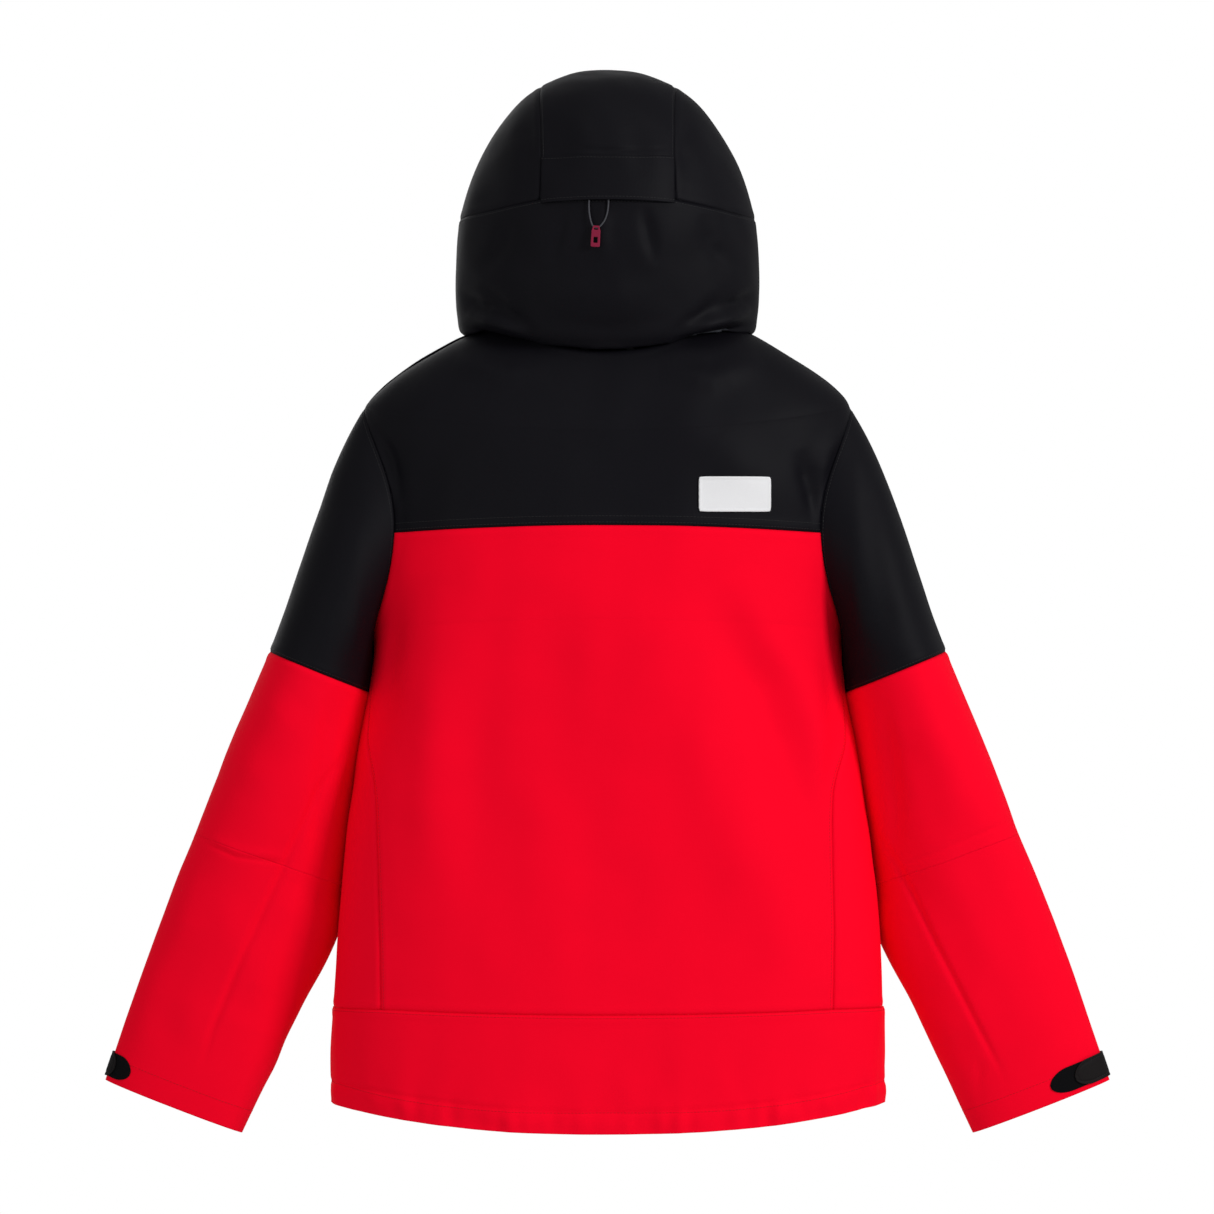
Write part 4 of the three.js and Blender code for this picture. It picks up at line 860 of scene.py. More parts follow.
def sleeve_shape(hand, seed):
    """Creases at the back of one sleeve, its waviness along the arm, and a fade at its two ends."""
    def shape(p):
        both = p.copy()
        both[..., 0] = np.abs(both[..., 0])
        behind = 1 / (1 + np.exp(-(p[..., 1] + 100) / 8))
        rise = sum(fold(both, line, width, height, 0.2) for line, width, height in SLEEVE_FOLDS[hand])
        across = 2.6 * ripple(p, seed, 70, 190, (1, 1, 1.5))
        across = across + 0.8 * ripple(p, seed + 1, 28, 66, (1, 1, 1.3))
        before_cuff = (p[..., 2] + 738) * 0.944 - (both[..., 0] - 425) * 0.329
        calm = 0.15 + 0.85 / (1 + np.exp(-(before_cuff - 62) / 9))
        inner = np.interp(-p[..., 2], -SLEEVE_SECTIONS[2:, 3], SLEEVE_SECTIONS[2:, 2])
        at_trunk = 1 / (1 + np.exp((both[..., 0] - inner - 12) / 4)) / (1 + np.exp(-(p[..., 2] + 600) / 12))
        outer = np.interp(-p[..., 2], -SLEEVE_SECTIONS[1:, 1], SLEEVE_SECTIONS[1:, 0])
        at_outer = 0.8 / (1 + np.exp((outer - both[..., 0] - 9) / 5))
        return (rise * behind + across * (1 - at_outer)) * calm * (1 - at_trunk)
    return shape


def tube(name, base, shape, sewn, cloth_look, at_armhole=False):
    """A sleeve piece that closes round on itself: a panel with its first column repeated last."""
    return panel(name, base, lambda q: np.array([0.0, q[1] + 95.0, 0.0]), sewn=sewn, shape=shape,
                 finish=(cloth_look, "grey_lining"), deep=1.1, wrap=True, at_armhole=at_armhole)


for side, hand in ((1, "left"), (-1, "right")):
    # The tubes start and end at the middle of the front, where no one looks first.
    around = np.linspace(-0.25, 0.75, 221)[None]
    shape = sleeve_shape(hand, 20 + side)
    down = np.linspace(0, 1, 96)[:, None]
    turn_grid, down_grid = np.broadcast_arrays(around, down)
    head = tube("sleeve_head_" + hand, sleeve_head(down_grid, turn_grid, side), shape, ("bottom", "top"),
                "black_cloth", at_armhole=True)
    levels = np.linspace(COLOUR_SEAM, ELBOW, 100)[:, None]
    level_grid, turn_grid = np.broadcast_arrays(levels, around)
    upper = tube("sleeve_upper_red_" + hand, sleeve(level_grid, turn_grid, side), shape, ("bottom",),
                 "red_cloth")
    levels = np.linspace(ELBOW, CUFF, 150)[:, None]
    level_grid, turn_grid = np.broadcast_arrays(levels, around)
    lower = tube("sleeve_lower_red_" + hand, sleeve(level_grid, turn_grid, side), shape, (), "red_cloth")
    for piece, stands_for, look in ((head, "sleeve_upper_", "black_shell"),
                                    (upper, "sleeve_middle_", "red_shell")):
        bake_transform(piece)
        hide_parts(stands_for + hand)
    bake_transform(lower)
    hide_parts("sleeve_lower_" + hand)

# ---------------------------------------------------------------- hood
# The hood fits over a helmet: a lower part sewn to the neck, a crown panel from the flap to the
# brim, a cheek panel on each side of it and a stiffened brim round the face.
# Half width, side height, back y and z, front y and z; the last row mirrors the last but two
# through the top, so that the crown is smooth there.
HOOD_RINGS = np.array([
    [102, 32, 0.5, 1, -150, -30], [139, 17, 7, 5, -176, -30], [147, 36, 20, 24, -205, 0],
    [148, 80, 32, 80, -222, 60], [143, 135, 38, 140, -232, 130], [123, 192, 28, 198, -238, 188],
    [86, 244, 4, 246, -224, 238], [40, 270, -42, 268, -170, 262], [0, 275, -96, 275, -96, 275],
    [-40, 270, -170, 262, -42, 268]], float)
HOOD_TOP_LEVEL = 8.0
HOOD_MIDDLE_Y = -96.0
HOOD_SQUARENESS = 2.05
CROWN_HALF = 65.0
BRIM_LENGTH = 34.0


def hood(level, turn):
    """Hood point: a ring at a level between the neck seam (0) and the top (8); turn 0 is the back."""
    level, turn = np.broadcast_arrays(np.asarray(level, float), np.asarray(turn, float))
    half, side, back, back_z, front, front_z = np.moveaxis(through(HOOD_RINGS, level), -1, 0)
    return ring(half, side, back, back_z, front, front_z, HOOD_MIDDLE_Y, HOOD_SQUARENESS, turn)


def hood_flat(q):
    """Hood point from flat params q: the distance from zero is 8 - level and the angle is the turn."""
    return hood(HOOD_TOP_LEVEL - np.hypot(q[..., 0], q[..., 1]),
                np.arctan2(q[..., 0], q[..., 1]) / (2 * np.pi))


def flat_params(level, turn):
    """Flat params of a level and a turn."""
    reach = HOOD_TOP_LEVEL - np.asarray(level)
    return np.stack([reach * np.sin(2 * np.pi * turn), reach * np.cos(2 * np.pi * turn)], -1)


def flat_border(params):
    """Border curve in flat params, from levels and turns, at equal shares of its length."""
    q = flat_params(params[:, 0], params[:, 1])
    return border(lambda a, b: hood_flat(np.stack([a, b], -1)), q)


def face_y(z):
    """The face opening's plane leans forward with height."""
    return -172 - 0.1787 * z


def hood_seam_height(x):
    """The hood's level seam: flat under the flap, then falling towards the face."""
    return 145.0 - 0.19 * np.clip(np.abs(x) - 60, 0, None)


def hood_level(turn, height):
    """Level at which the hood has the height that height(x) asks for."""
    def miss(level):
        point = hood(level, turn)
        return point[..., 2] - height(point[..., 0])
    return bisect(miss, np.full_like(turn, 2.5), np.full_like(turn, 7.0))


def outward_hood(point):
    """Way out of the hood, away from a point in the middle of the head."""
    return point - np.array([0.0, -110.0, 120.0])


# Creases of the hood as [x, z] points, width and height: at its foot, below the flap, on the crown.
HOOD_FOLDS = [
    ([(-146, 28), (-120, 17), (-92, 10), (-60, 6)], 4.5, -4.4),
    ([(-142, 40), (-112, 29), (-70, 19)], 6, 4.0),
    ([(-120, 60), (-90, 30), (-60, 12)], 7, -2.6),
    ([(-150, 60), (-128, 46), (-104, 40)], 6, -3.0),
    ([(144, 26), (120, 14), (94, 6), (64, 4)], 4.5, -4.4),
    ([(138, 38), (106, 26), (74, 16)], 6, 4.0),
    ([(124, 66), (96, 34), (70, 14)], 7, -2.4),
    ([(148, 58), (126, 42), (100, 36)], 6, -3.0),
    ([(3, 138), (6, 112), (4, 84)], 8, 1.6),
    ([(-34, 140), (-40, 110), (-46, 80)], 6, -2.0),
    ([(40, 140), (48, 108), (58, 82)], 7, -1.8),
    ([(-90, 130), (-100, 100), (-124, 76)], 9, -2.2),
    ([(92, 128), (104, 98), (126, 74)], 9, -2.0),
    ([(62, 196), (40, 193), (0, 191), (-44, 192), (-60, 194)], 1.8, -0.9),
    ([(-84, 236), (-74, 200), (-76, 160)], 9, -1.6),
    ([(84, 236), (76, 200), (78, 160)], 9, -1.6),
    ([(30, 230), (22, 190), (26, 160)], 14, 1.4),
    ([(-22, 236), (-30, 200), (-26, 160)], 14, -1.2),
    ([(-60, 60), (0, 48), (70, 62)], 16, 2.0),
    ([(-70, 30), (0, 18), (70, 28)], 10, -2.0),
]


def hood_shape(p):
    """Creases of the hood's back where it sinks on to the shoulders, and a slow waviness."""
    behind = 1 / (1 + np.exp(-(p[..., 1] + 70) / 10))
    rise = 1.7 * sum(fold(p, line, width, height) for line, width, height in HOOD_FOLDS) * behind
    rise = rise + (0.8 + 1.4 * behind) * ripple(p, 31, 60, 170)
    return rise + 0.6 * ripple(p, 32, 26, 60) * behind


def cut_turn(level):
    """Turn at which the hood's cloth ends in front: at the face plane, or beside the collar."""
    def past(turn):
        point = hood(level, turn)
        beside = np.minimum(103 - np.abs(point[..., 0]), 78 - point[..., 2])
        collar = np.minimum(beside, -58 - point[..., 1])
        return np.maximum(face_y(point[..., 2]) - point[..., 1], collar)
    return bisect(past, np.full_like(level, 0.1), np.full_like(level, 0.49))


seam_turns = np.linspace(0, 0.42, 500)
seam_levels = hood_level(seam_turns, hood_seam_height)
seam_cut = np.argmin(np.abs(cut_turn(seam_levels) - seam_turns))
seam_half = np.stack([seam_levels, seam_turns], -1)[:seam_cut + 1]
seam_ring = np.concatenate([mirrored(seam_half)[::-1], seam_half[1:]])
front_levels = np.linspace(0, seam_half[-1, 0], 160)
front_turns_cut = cut_turn(front_levels)
smooth = np.convolve(np.pad(front_turns_cut, 9, mode="edge"), np.ones(19) / 19, mode="valid")
lower_front = np.stack([front_levels, smooth], -1)
lower_front[-1] = seam_half[-1]
neck_ring = np.stack([np.zeros(200), np.linspace(-lower_front[0, 1], lower_front[0, 1], 200)], -1)
net = coons(border(hood, neck_ring), border(hood, seam_ring), border(hood, mirrored(lower_front)),
            border(hood, lower_front), 220, 84)
hood_lower = panel("hood_lower_cloth", hood(net[..., 0], net[..., 1]), outward_hood, shape=hood_shape,
                   deep=0.55, lift=0.3)
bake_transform(hood_lower)
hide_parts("hood_lower")


def plane_levels(turn, shift):
    """Levels at which the hood meets the face plane moved back by shift, at turns near the front."""
    def miss(level):
        point = hood(level, turn)
        return point[..., 1] - face_y(point[..., 2]) - shift
    return bisect(miss, np.full_like(turn, 3.2), np.full_like(turn, 7.99))


def first_turn(shift):
    """Turn where the level seam meets the plane moved back by shift."""
    points = hood(seam_levels, seam_turns)
    past = points[:, 1] - face_y(points[:, 2]) - shift
    return float(np.interp(0, -past, seam_turns))


brim_start, face_start = first_turn(BRIM_LENGTH), first_turn(0.0)
brim_turns = np.linspace(brim_start, 0.5, 240)
face_turns = np.linspace(face_start, 0.5, 240)
brim_half = np.stack([plane_levels(brim_turns, BRIM_LENGTH), brim_turns], -1)
face_half = np.stack([plane_levels(face_turns, 0.0), face_turns], -1)
brim_x = hood(brim_half[:, 0], brim_half[:, 1])[:, 0]
corner = int(np.argmax(brim_x < CROWN_HALF))
seam_x = hood(seam_half[:, 0], seam_half[:, 1])[:, 0]
start = int(np.argmax(seam_x > CROWN_HALF))
crown_turns = np.linspace(seam_half[start, 1], brim_half[corner, 1], 200)
crown_levels = bisect(lambda level: CROWN_HALF - hood(level, crown_turns)[..., 0],
                      np.full_like(crown_turns, 3.8), np.full_like(crown_turns, 7.99))
crown_side = np.stack([crown_levels, crown_turns], -1)
crown_side[0], crown_side[-1] = seam_half[start], brim_half[corner]

crown_back = np.concatenate([mirrored(seam_half[:start + 1])[::-1], seam_half[1:start + 1]])
crown_front = np.concatenate([brim_half[corner:], mirrored(brim_half[corner:])[::-1][1:]])
net = coons(flat_border(crown_back), flat_border(crown_front[::-1]), flat_border(mirrored(crown_side)),
            flat_border(crown_side), 70, 150)
crown = panel("hood_crown_cloth", hood_flat(net), outward_hood, shape=hood_shape, deep=0.55, lift=0.3)
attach(crown, "hood")
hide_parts("hood_crown")

for side, hand in ((1, "left"), (-1, "right")):
    way = np.array([1, side])
    tip = flat_params(brim_half[corner, 0], brim_half[corner, 1] * side)
    behind_brim = seam_half[start:][seam_half[start:, 1] < brim_start]
    seam_to_brim = np.concatenate([behind_brim, brim_half[:1]])
    net = coons(flat_border(seam_to_brim * way), lambda t: np.broadcast_to(tip, (len(t), 2)),
                flat_border(crown_side * way), flat_border(brim_half[:corner + 1] * way), 90, 110)
    cheek = panel("hood_cheek_cloth_" + hand, hood_flat(net), outward_hood,
                  sewn=("bottom", "left", "right"), shape=hood_shape, deep=0.55, lift=0.3)
    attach(cheek, "hood")
    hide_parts("hood_side_" + hand)

brim_ring = np.concatenate([mirrored(brim_half), brim_half[::-1][1:]])
face_ring = np.concatenate([mirrored(face_half), face_half[::-1][1:]])
net = coons(flat_border(brim_ring), flat_border(face_ring), straight(
    flat_params(*brim_ring[0]), flat_params(*face_ring[0])), straight(
    flat_params(*brim_ring[-1]), flat_params(*face_ring[-1])), 200, 18)
brim = panel("hood_brim_cloth", hood_flat(net), outward_hood, sewn=("bottom",),
             shape=lambda p: 0.5 * ripple(p, 33, 40, 120), thick=2.2)
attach(brim, "hood")
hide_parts("hood_brim")

# ---------------------------------------------------------------- hood flap and adjuster
# The crown's lower edge is doubled into a flap that stands a little off the hood. Under it an
# elastic loop comes out, threaded through a moulded pull tab, and draws the hood's volume in.
FLAP_HALF, FLAP_TOP, FLAP_BOTTOM = 64.0, 186.0, 140.5


def hood_back_y(x, z):
    """Depth of the hood's back at x and z, from its ring at that height."""
    x, z = np.broadcast_arrays(np.asarray(x, float), np.asarray(z, float))

    def turn_of(level):
        half = through(HOOD_RINGS[:, 0], level)
        return np.arcsin(np.clip(power(x / half, HOOD_SQUARENESS / 2), -1, 1)) / (2 * np.pi)
    level = bisect(lambda tried: hood(tried, turn_of(tried))[..., 2] - z,
                   np.full_like(x, 1.0), np.full_like(x, 7.0))
    return hood(level, turn_of(level))[..., 1]


flap_x, flap_v = np.meshgrid(np.linspace(-FLAP_HALF, FLAP_HALF, 130), np.linspace(0, 1, 50))
bow = 3.0 * (1 - (flap_x / FLAP_HALF) ** 2)
flap_z = FLAP_BOTTOM + bow * (1 - flap_v) + (FLAP_TOP - FLAP_BOTTOM) * flap_v
lift = 1.0 + 4.6 * (1 - flap_v) ** 1.5 * (1 - (flap_x / FLAP_HALF) ** 6)
flap_points = np.stack([flap_x, hood_back_y(flap_x, flap_z) + lift, flap_z], -1)
flap = panel("hood_flap_cloth", flap_points, outward_hood, sewn=(), shape=hood_shape,
             finish=("black_cloth", "black_cloth"))
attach(flap, "hood")
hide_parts("hood_adjuster_flap")

# The elastic's route from one end under the flap, down through the tab and back.
CORD_RADIUS = 0.8
cord_y = float(hood_back_y(0.0, 133.0)) + 1.25
cord_way = np.array([[-1, 151], [-1, 143], [-0.6, 136], [0.6, 129], [3.2, 122.5], [7.6, 117.2], [11, 115.9],
                     [14.2, 118], [16.4, 124], [17.6, 131], [17.9, 138], [17.6, 144], [17, 151]], float)
cord_xz = through(cord_way, np.linspace(0, len(cord_way) - 1, 90))
cord_line = np.stack([cord_xz[:, 0], np.full(90, cord_y), cord_xz[:, 1]], -1)


def tube_along(name, line, radius, sides=10, ribs=0.0):
    """Round tube on a line of points: rings square to the line, closed by a point at each end."""
    way = np.gradient(line, axis=0)
    way /= np.linalg.norm(way, axis=1, keepdims=True)
    across = np.cross(way, [0.0, 1.0, 0.02])
    across /= np.linalg.norm(across, axis=1, keepdims=True)
    other = np.cross(way, across)
    angle = np.linspace(0, 2 * np.pi, sides + 1)[:-1]
    size = radius * (1 + ribs * np.cos(np.arange(len(line)) * 2.1))[:, None, None]
    rings = line[:, None] + size * (across[:, None] * np.cos(angle)[None, :, None]
                                    + other[:, None] * np.sin(angle)[None, :, None])
    vertices = np.concatenate([rings.reshape(-1, 3), line[:1], line[-1:]])
    quads = grid_faces(len(line) - 1, sides, wrap=True)
    first, last, base = len(vertices) - 2, len(vertices) - 1, (len(line) - 1) * sides
    k = np.arange(sides)
    caps = np.concatenate([np.stack([k, k, np.full(sides, first), (k + 1) % sides], -1),
                           np.stack([base + (k + 1) % sides, base + (k + 1) % sides,
                                     np.full(sides, last), base + k], -1)])
    made = bpy.data.meshes.new(name)
    made.from_pydata(((vertices + NECK_SEAM) / 1000).tolist(), [],
                     quads.tolist() + [[a, c, d] for a, _, c, d in caps.tolist()])
    made.polygons.foreach_set("use_smooth", np.ones(len(made.polygons), bool))
    shown = bpy.data.objects.new(name, made)
    bpy.context.scene.collection.objects.link(shown)
    return shown


adjuster_cord = tube_along("hood_adjuster_elastic", cord_line, CORD_RADIUS, ribs=0.04)
adjuster_cord.data.materials.append(LOOKS["braided_elastic"])
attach(adjuster_cord, "hood_adjuster")
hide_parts("hood_adjuster_cord")


def bevelled(name, outline, depth, bevel, holes=()):
    """Solid from an outline of [across, up] corners, extruded `depth` in y and with rounded edges;
    holes are outlines cut through it. All in millimetres about zero."""
    mesh = bpy.data.meshes.new(name)
    shape = bmesh.new()
    loops = []
    for points in (outline, *holes):
        corners = [shape.verts.new((x / 1000, -depth / 2000, z / 1000)) for x, z in points]
        loops += [shape.edges.new((corners[i - 1], corners[i])) for i in range(len(corners))]
    made = bmesh.ops.triangle_fill(shape, use_beauty=True, use_dissolve=False, edges=loops)
    faces = [f for f in made["geom"] if isinstance(f, bmesh.types.BMFace)]
    grown = bmesh.ops.extrude_face_region(shape, geom=faces)
    bmesh.ops.translate(shape, vec=(0, depth / 1000, 0),
                        verts=[v for v in grown["geom"] if isinstance(v, bmesh.types.BMVert)])
    bmesh.ops.recalc_face_normals(shape, faces=shape.faces)
    shape.to_mesh(mesh)
    shape.free()
    solid = bpy.data.objects.new(name, mesh)
    bpy.context.scene.collection.objects.link(solid)
    soft = solid.modifiers.new("moulded_edges", "BEVEL")
    soft.width = bevel / 1000
    soft.segments = 3
    soft.limit_method = "ANGLE"
    return solid


def placed(solid, middle, turn=0.0):
    """Turn a solid about y by `turn` radians and set it at a local point, in its own mesh."""
    c, s = math.cos(turn), math.sin(turn)
    x, y, z = (np.asarray(middle) + NECK_SEAM) / 1000
    solid.data.transform(Matrix(((c, 0, s, x), (0, 1, 0, y), (-s, 0, c, z), (0, 0, 0, 1))))
    return solid


pull = bevelled("hood_pull_tab", [(-2.9, 0.6), (2.9, 0.6), (4.3, -4.5), (4.5, -19), (3.6, -20), (-3.6, -20),
                                  (-4.5, -19), (-4.3, -4.5)], 3.0, 0.7,
                holes=[[(-2, -16), (2, -16), (2, -10.5), (-2, -10.5)],
                       [(-1.9, -3.4), (1.9, -3.4), (1.9, -1.4), (-1.9, -1.4)]])
placed(pull, (10.9, cord_y, 117.6), math.radians(-3))
pull.data.materials.append(LOOKS["berry_plastic"])
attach(pull, "hood_adjuster")
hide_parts("hood_adjuster_tab")

# ---------------------------------------------------------------- woven patch on the yoke
# A plain rectangular patch of dense white stitching, edged with a raised rolled border.
PATCH_X, PATCH_Z, PATCH_HALF_WIDE, PATCH_HALF_HIGH = -123.0, -140.0, 35.0, 17.0
grid = np.linspace(-1, 1, 61)
patch_u, patch_w = np.meshgrid(grid, grid)
corner_round = 1 - 0.03 * (np.abs(patch_u) * np.abs(patch_w)) ** 8
patch_x = PATCH_X + PATCH_HALF_WIDE * patch_u * corner_round
patch_z = PATCH_Z + PATCH_HALF_HIGH * patch_w * corner_round


def body_back_y(x, z):
    """Depth of the body's back at x and z."""
    x, z = np.broadcast_arrays(np.asarray(x, float), np.asarray(z, float))
    level = bisect(lambda tried: body(tried, turn_where(tried, x))[..., 2] - z,
                   np.zeros_like(x), np.full_like(x, 8.6))
    return body(level, turn_where(level, x))[..., 1]


patch_base = np.stack([patch_x, body_back_y(patch_x, patch_z), patch_z], -1)
rim = np.maximum(np.abs(patch_u), 1 - (1 - np.abs(patch_w)) * PATCH_HALF_HIGH / PATCH_HALF_WIDE)
rolled = 0.55 * np.exp(-((rim - 0.96) / 0.03) ** 2)
satin = 0.16 * np.cos(2 * np.pi * (patch_x + 0.35 * patch_z) / 2.4)
patch_points = patch_base + np.array([0, 1, 0]) * (1.5 + back_shape(patch_base) + rolled + satin)[..., None]
patch = panel("woven_patch", patch_points, outward_body, sewn=(), thick=1.2,
              finish=("white_thread", "white_thread"))
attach(patch, "torso")
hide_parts("badge_patch")

# ---------------------------------------------------------------- collar
# The standing collar is doubled cloth, 4 mm thick, with a rounded fold along its top.
COLLAR_ROWS = 40
COLLAR_SQUARENESS = 2.1


def collar(row, turn):
    """Collar point between the neck seam (0) and the top fold (1)."""
    front_z = -61 + 96 * row
    return ring(94 - 6 * row, 29 + row + 34 * row, -3 - 8 * row, 1 + row + 66 * row,
                front_line(front_z) + 1, front_z, MIDDLE_Y, COLLAR_SQUARENESS, turn)


row_grid, turn_grid = np.meshgrid(np.linspace(0, 1, COLLAR_ROWS), np.linspace(-0.5, 0.5, 261),
                                  indexing="ij")
edge_turn = 0.5 - np.arcsin(power(ZIP_EDGE / (94 - 6 * row_grid), COLLAR_SQUARENESS / 2)) / (2 * np.pi)
collar_points = collar(row_grid, turn_grid * 2 * edge_turn)


def collar_shape(p):
    """The collar's top rolls over a little, and a faint waviness runs over it."""
    share = np.linspace(0, 1, p.shape[0])[:, None]
    rolled = -1.4 * np.clip((share - 0.93) / 0.07, 0, 1) ** 2
    return rolled + 0.5 * ripple(p, 51, 30, 90)


collar_cloth = panel("collar_cloth", collar_points, outward_body, sewn=("bottom",), shape=collar_shape,
                     thick=3.6, finish=("black_cloth", "black_cloth"))
edge_soft = collar_cloth.modifiers.new("folded_edge", "BEVEL")
edge_soft.width = 0.0014
edge_soft.segments = 3
edge_soft.limit_method = "ANGLE"
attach(collar_cloth, "torso")
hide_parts("collar")

# ---------------------------------------------------------------- cuffs
# A moulded tab is sewn to the front of each cuff and wraps the outer edge, over a strip of loop
# pile. Its free end is round, and both have a fine raised border.
TAB_WIDE, TAB_FROM_HEM = 29.0, 8.0
CUFF_LENGTH = float(np.linalg.norm(SLEEVE_SECTIONS[-1, :2] - SLEEVE_SECTIONS[-2, :2]))
TAB_MIDDLE = CUFF - (TAB_FROM_HEM + TAB_WIDE / 2) / CUFF_LENGTH
TAB_HALF = TAB_WIDE / 2 / CUFF_LENGTH


def strap(start, end, half, side, lift_by, columns=110, rows=26):
    """Strip round the cuff between two turns, with its far end rounded, lifted off the sleeve."""
    share, across = np.meshgrid(np.linspace(0, 1, columns), np.linspace(-1, 1, rows))
    turn = start + (end - start) * share
    from_tip = np.clip((end - turn) / 0.05, 0, 1)
    width = np.sqrt(np.clip(1 - (1 - from_tip) ** 2, 0.03, 1))
    base = sleeve(TAB_MIDDLE + half * width * across, turn, side)
    normal = grid_normals(base)
    middle = normal[rows // 2, columns // 2] @ (base[rows // 2, columns // 2] - sleeve(
        np.array(TAB_MIDDLE), np.array(0.5), side))
    return base + normal * np.sign(middle) * lift_by


for side, hand, tab_start, tab_end in ((1, "left", -0.24, 0.07), (-1, "right", -0.15, 0.16)):
    def away(point, side=side):
        """Way out of the cuff, away from the middle of its opening."""
        return point - sleeve(np.array(TAB_MIDDLE), np.array(0.5), side)

    def tab_border(p):
        """A raised border 2 mm in from the tab's edge, and a fine cross rib over its face."""
        runs = edge_runs(p)
        near = np.minimum(np.minimum(runs["bottom"], runs["top"]), runs["right"])
        rib = 0.1 * np.cos(2 * np.pi * runs["left"] / 2.2) * (near > 3.4)
        return -0.45 * np.exp(-((near - 3.0) / 0.7) ** 2) + rib
    tab_net = strap(tab_start, tab_end, TAB_HALF, side, 2.5)
    tab = panel("cuff_tab_moulded_" + hand, tab_net, away, sewn=(), shape=tab_border, thick=1.4,
                finish=("moulded_tab", "loop_pile"))
    tab_soft = tab.modifiers.new("moulded_edge", "BEVEL")
    tab_soft.width = 0.0005
    tab_soft.segments = 2
    tab_soft.limit_method = "ANGLE"
    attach(tab, "cuff_tab_" + hand)
    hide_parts("cuff_tab_" + hand)
    pile_net = strap(tab_start + 0.08, tab_end + 0.06, TAB_HALF * 0.96, side, 1.0, 70, 20)
    pile = panel("cuff_pile_" + hand, pile_net, away, sewn=(), shape=lambda p: 0.12 * ripple(p, 61, 2.5, 5),
                 thick=0.7, finish=("loop_pile", "loop_pile"))
    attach(pile, "forearm_" + hand)
    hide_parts("cuff_loop_patch_" + hand)

# ---------------------------------------------------------------- zips
# Film-coated tapes meet over moulded teeth; behind the front zip hangs a storm flap. Sliders and
# pullers keep their modelled shape and get dark enamelled metal.
TEETH_PITCH = 2.6


def mesh_points(mesh, what="co"):
    """The vertices' places, or their normals, as an array of rows, in metres."""
    values = np.empty(len(mesh.vertices) * 3, np.float32)
    mesh.vertices.foreach_get(what, values)
    return values.reshape(-1, 3).astype(float)


def zip_pieces(name, nodes, tape_half, body_name):
    """Tape of a zip laid over its plain strip, with a row of interlocked teeth down its middle."""
    corners = np.concatenate([mesh_points(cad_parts[n].data) for n in nodes]) * 1000 - NECK_SEAM
    centre = corners.mean(0)
    down, across, out = np.linalg.svd(corners - centre, full_matrices=False)[2]
    down = down * -np.sign(down[2])
    out = out * -np.sign(out[1])
    across = np.cross(out, down)
    reach = (corners - centre) @ down
    face = ((corners - centre) @ out).max()
    length = reach.max() - reach.min()
    rows = int(length / 3)
    along, wide = np.meshgrid(np.linspace(reach.min(), reach.max(), rows), np.linspace(-1, 1, 25),
                              indexing="ij")
    welt = 0.5 * np.exp(-((np.abs(wide) - 0.9) / 0.08) ** 2) - 0.25 * np.exp(-(wide / 0.10) ** 2)
    points = (centre + along[..., None] * down + wide[..., None] * tape_half * across
              + (face - 0.1 + welt)[..., None] * out)
    tape = panel(name + "_tape", points, lambda q: out, sewn=(), thick=1.2,
                 finish=("coated_tape", "coated_tape"))
    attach(tape, body_name)
    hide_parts(*nodes)
    places = np.arange(reach.min() + 6, reach.max() - 4, TEETH_PITCH)
    box = np.array([[x, y, z] for x in (-1, 1) for y in (-1, 1) for z in (-1, 1)], float)
    order = np.array([[0, 1, 3, 2], [4, 6, 7, 5], [0, 4, 5, 1], [2, 3, 7, 6], [0, 2, 6, 4], [1, 5, 7, 3]])
    hand = np.where(np.arange(len(places)) % 2, 1.0, -1.0)
    middle = centre + places[:, None] * down + (hand * 0.5)[:, None] * across + (face + 0.05) * out
    taper = 1 - 0.3 * (box[:, 2] > 0)
    teeth = (middle[:, None] + (box[:, 0] * 1.7 * taper)[None, :, None] * across
             + (box[:, 1] * 0.95 * taper)[None, :, None] * down + (box[:, 2] * 0.3)[None, :, None] * out)
    faces = (order[None] + (np.arange(len(places)) * 8)[:, None, None]).reshape(-1, 4)
    made = to_object(name + "_teeth", teeth.reshape(-1, 3), faces)
    made.data.polygons.foreach_set("use_smooth", np.zeros(len(faces), bool))
    made.data.materials.append(LOOKS["coated_tape"])
    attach(made, body_name)


zip_pieces("front_zip", ["zip_tape_left", "zip_tape_right"], 12.0, "torso")
for hand in ("left", "right"):
    zip_pieces("hand_pocket_zip_" + hand, ["hand_pocket_%s_zip_tape" % hand], 8.0, "torso")
zip_pieces("chest_pocket_zip", ["chest_pocket_zip_tape"], 8.0, "torso")


def hard_part(node_name, look, edge_name, edge_mm):
    """A small hard part keeps its modelled shape: its finish is set and its edges are broken."""
    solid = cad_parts[node_name]
    solid.data.materials.clear()
    solid.data.materials.append(LOOKS[look])
    soft = solid.modifiers.new(edge_name, "BEVEL")
    soft.width = edge_mm / 1000
    soft.segments = 2
    soft.limit_method = "ANGLE"


for name in ("main_zip", "hand_pocket_left_zip", "hand_pocket_right_zip", "chest_pocket_zip"):
    hard_part(name + "_slider", "painted_zinc", "cast_edges", 0.3)
    hard_part(name + "_puller", "painted_zinc", "cast_edges", 0.3)
hard_part("hanger_loop", "webbing", "woven_edges", 0.4)
for hand in ("left", "right"):
    hard_part("hem_cord_lock_" + hand, "black_plastic", "moulded_edges", 0.4)
    hard_part("hem_lock_button_" + hand, "black_plastic", "moulded_edges", 0.4)

# ---------------------------------------------------------------- inside: flap, bags and hem cord
# The storm flap, the pocket bags and the drawcord are limp cloth and braid, seen only when one
# looks into the jacket. Each is a finer, rippled form of the solid that carries its weight.


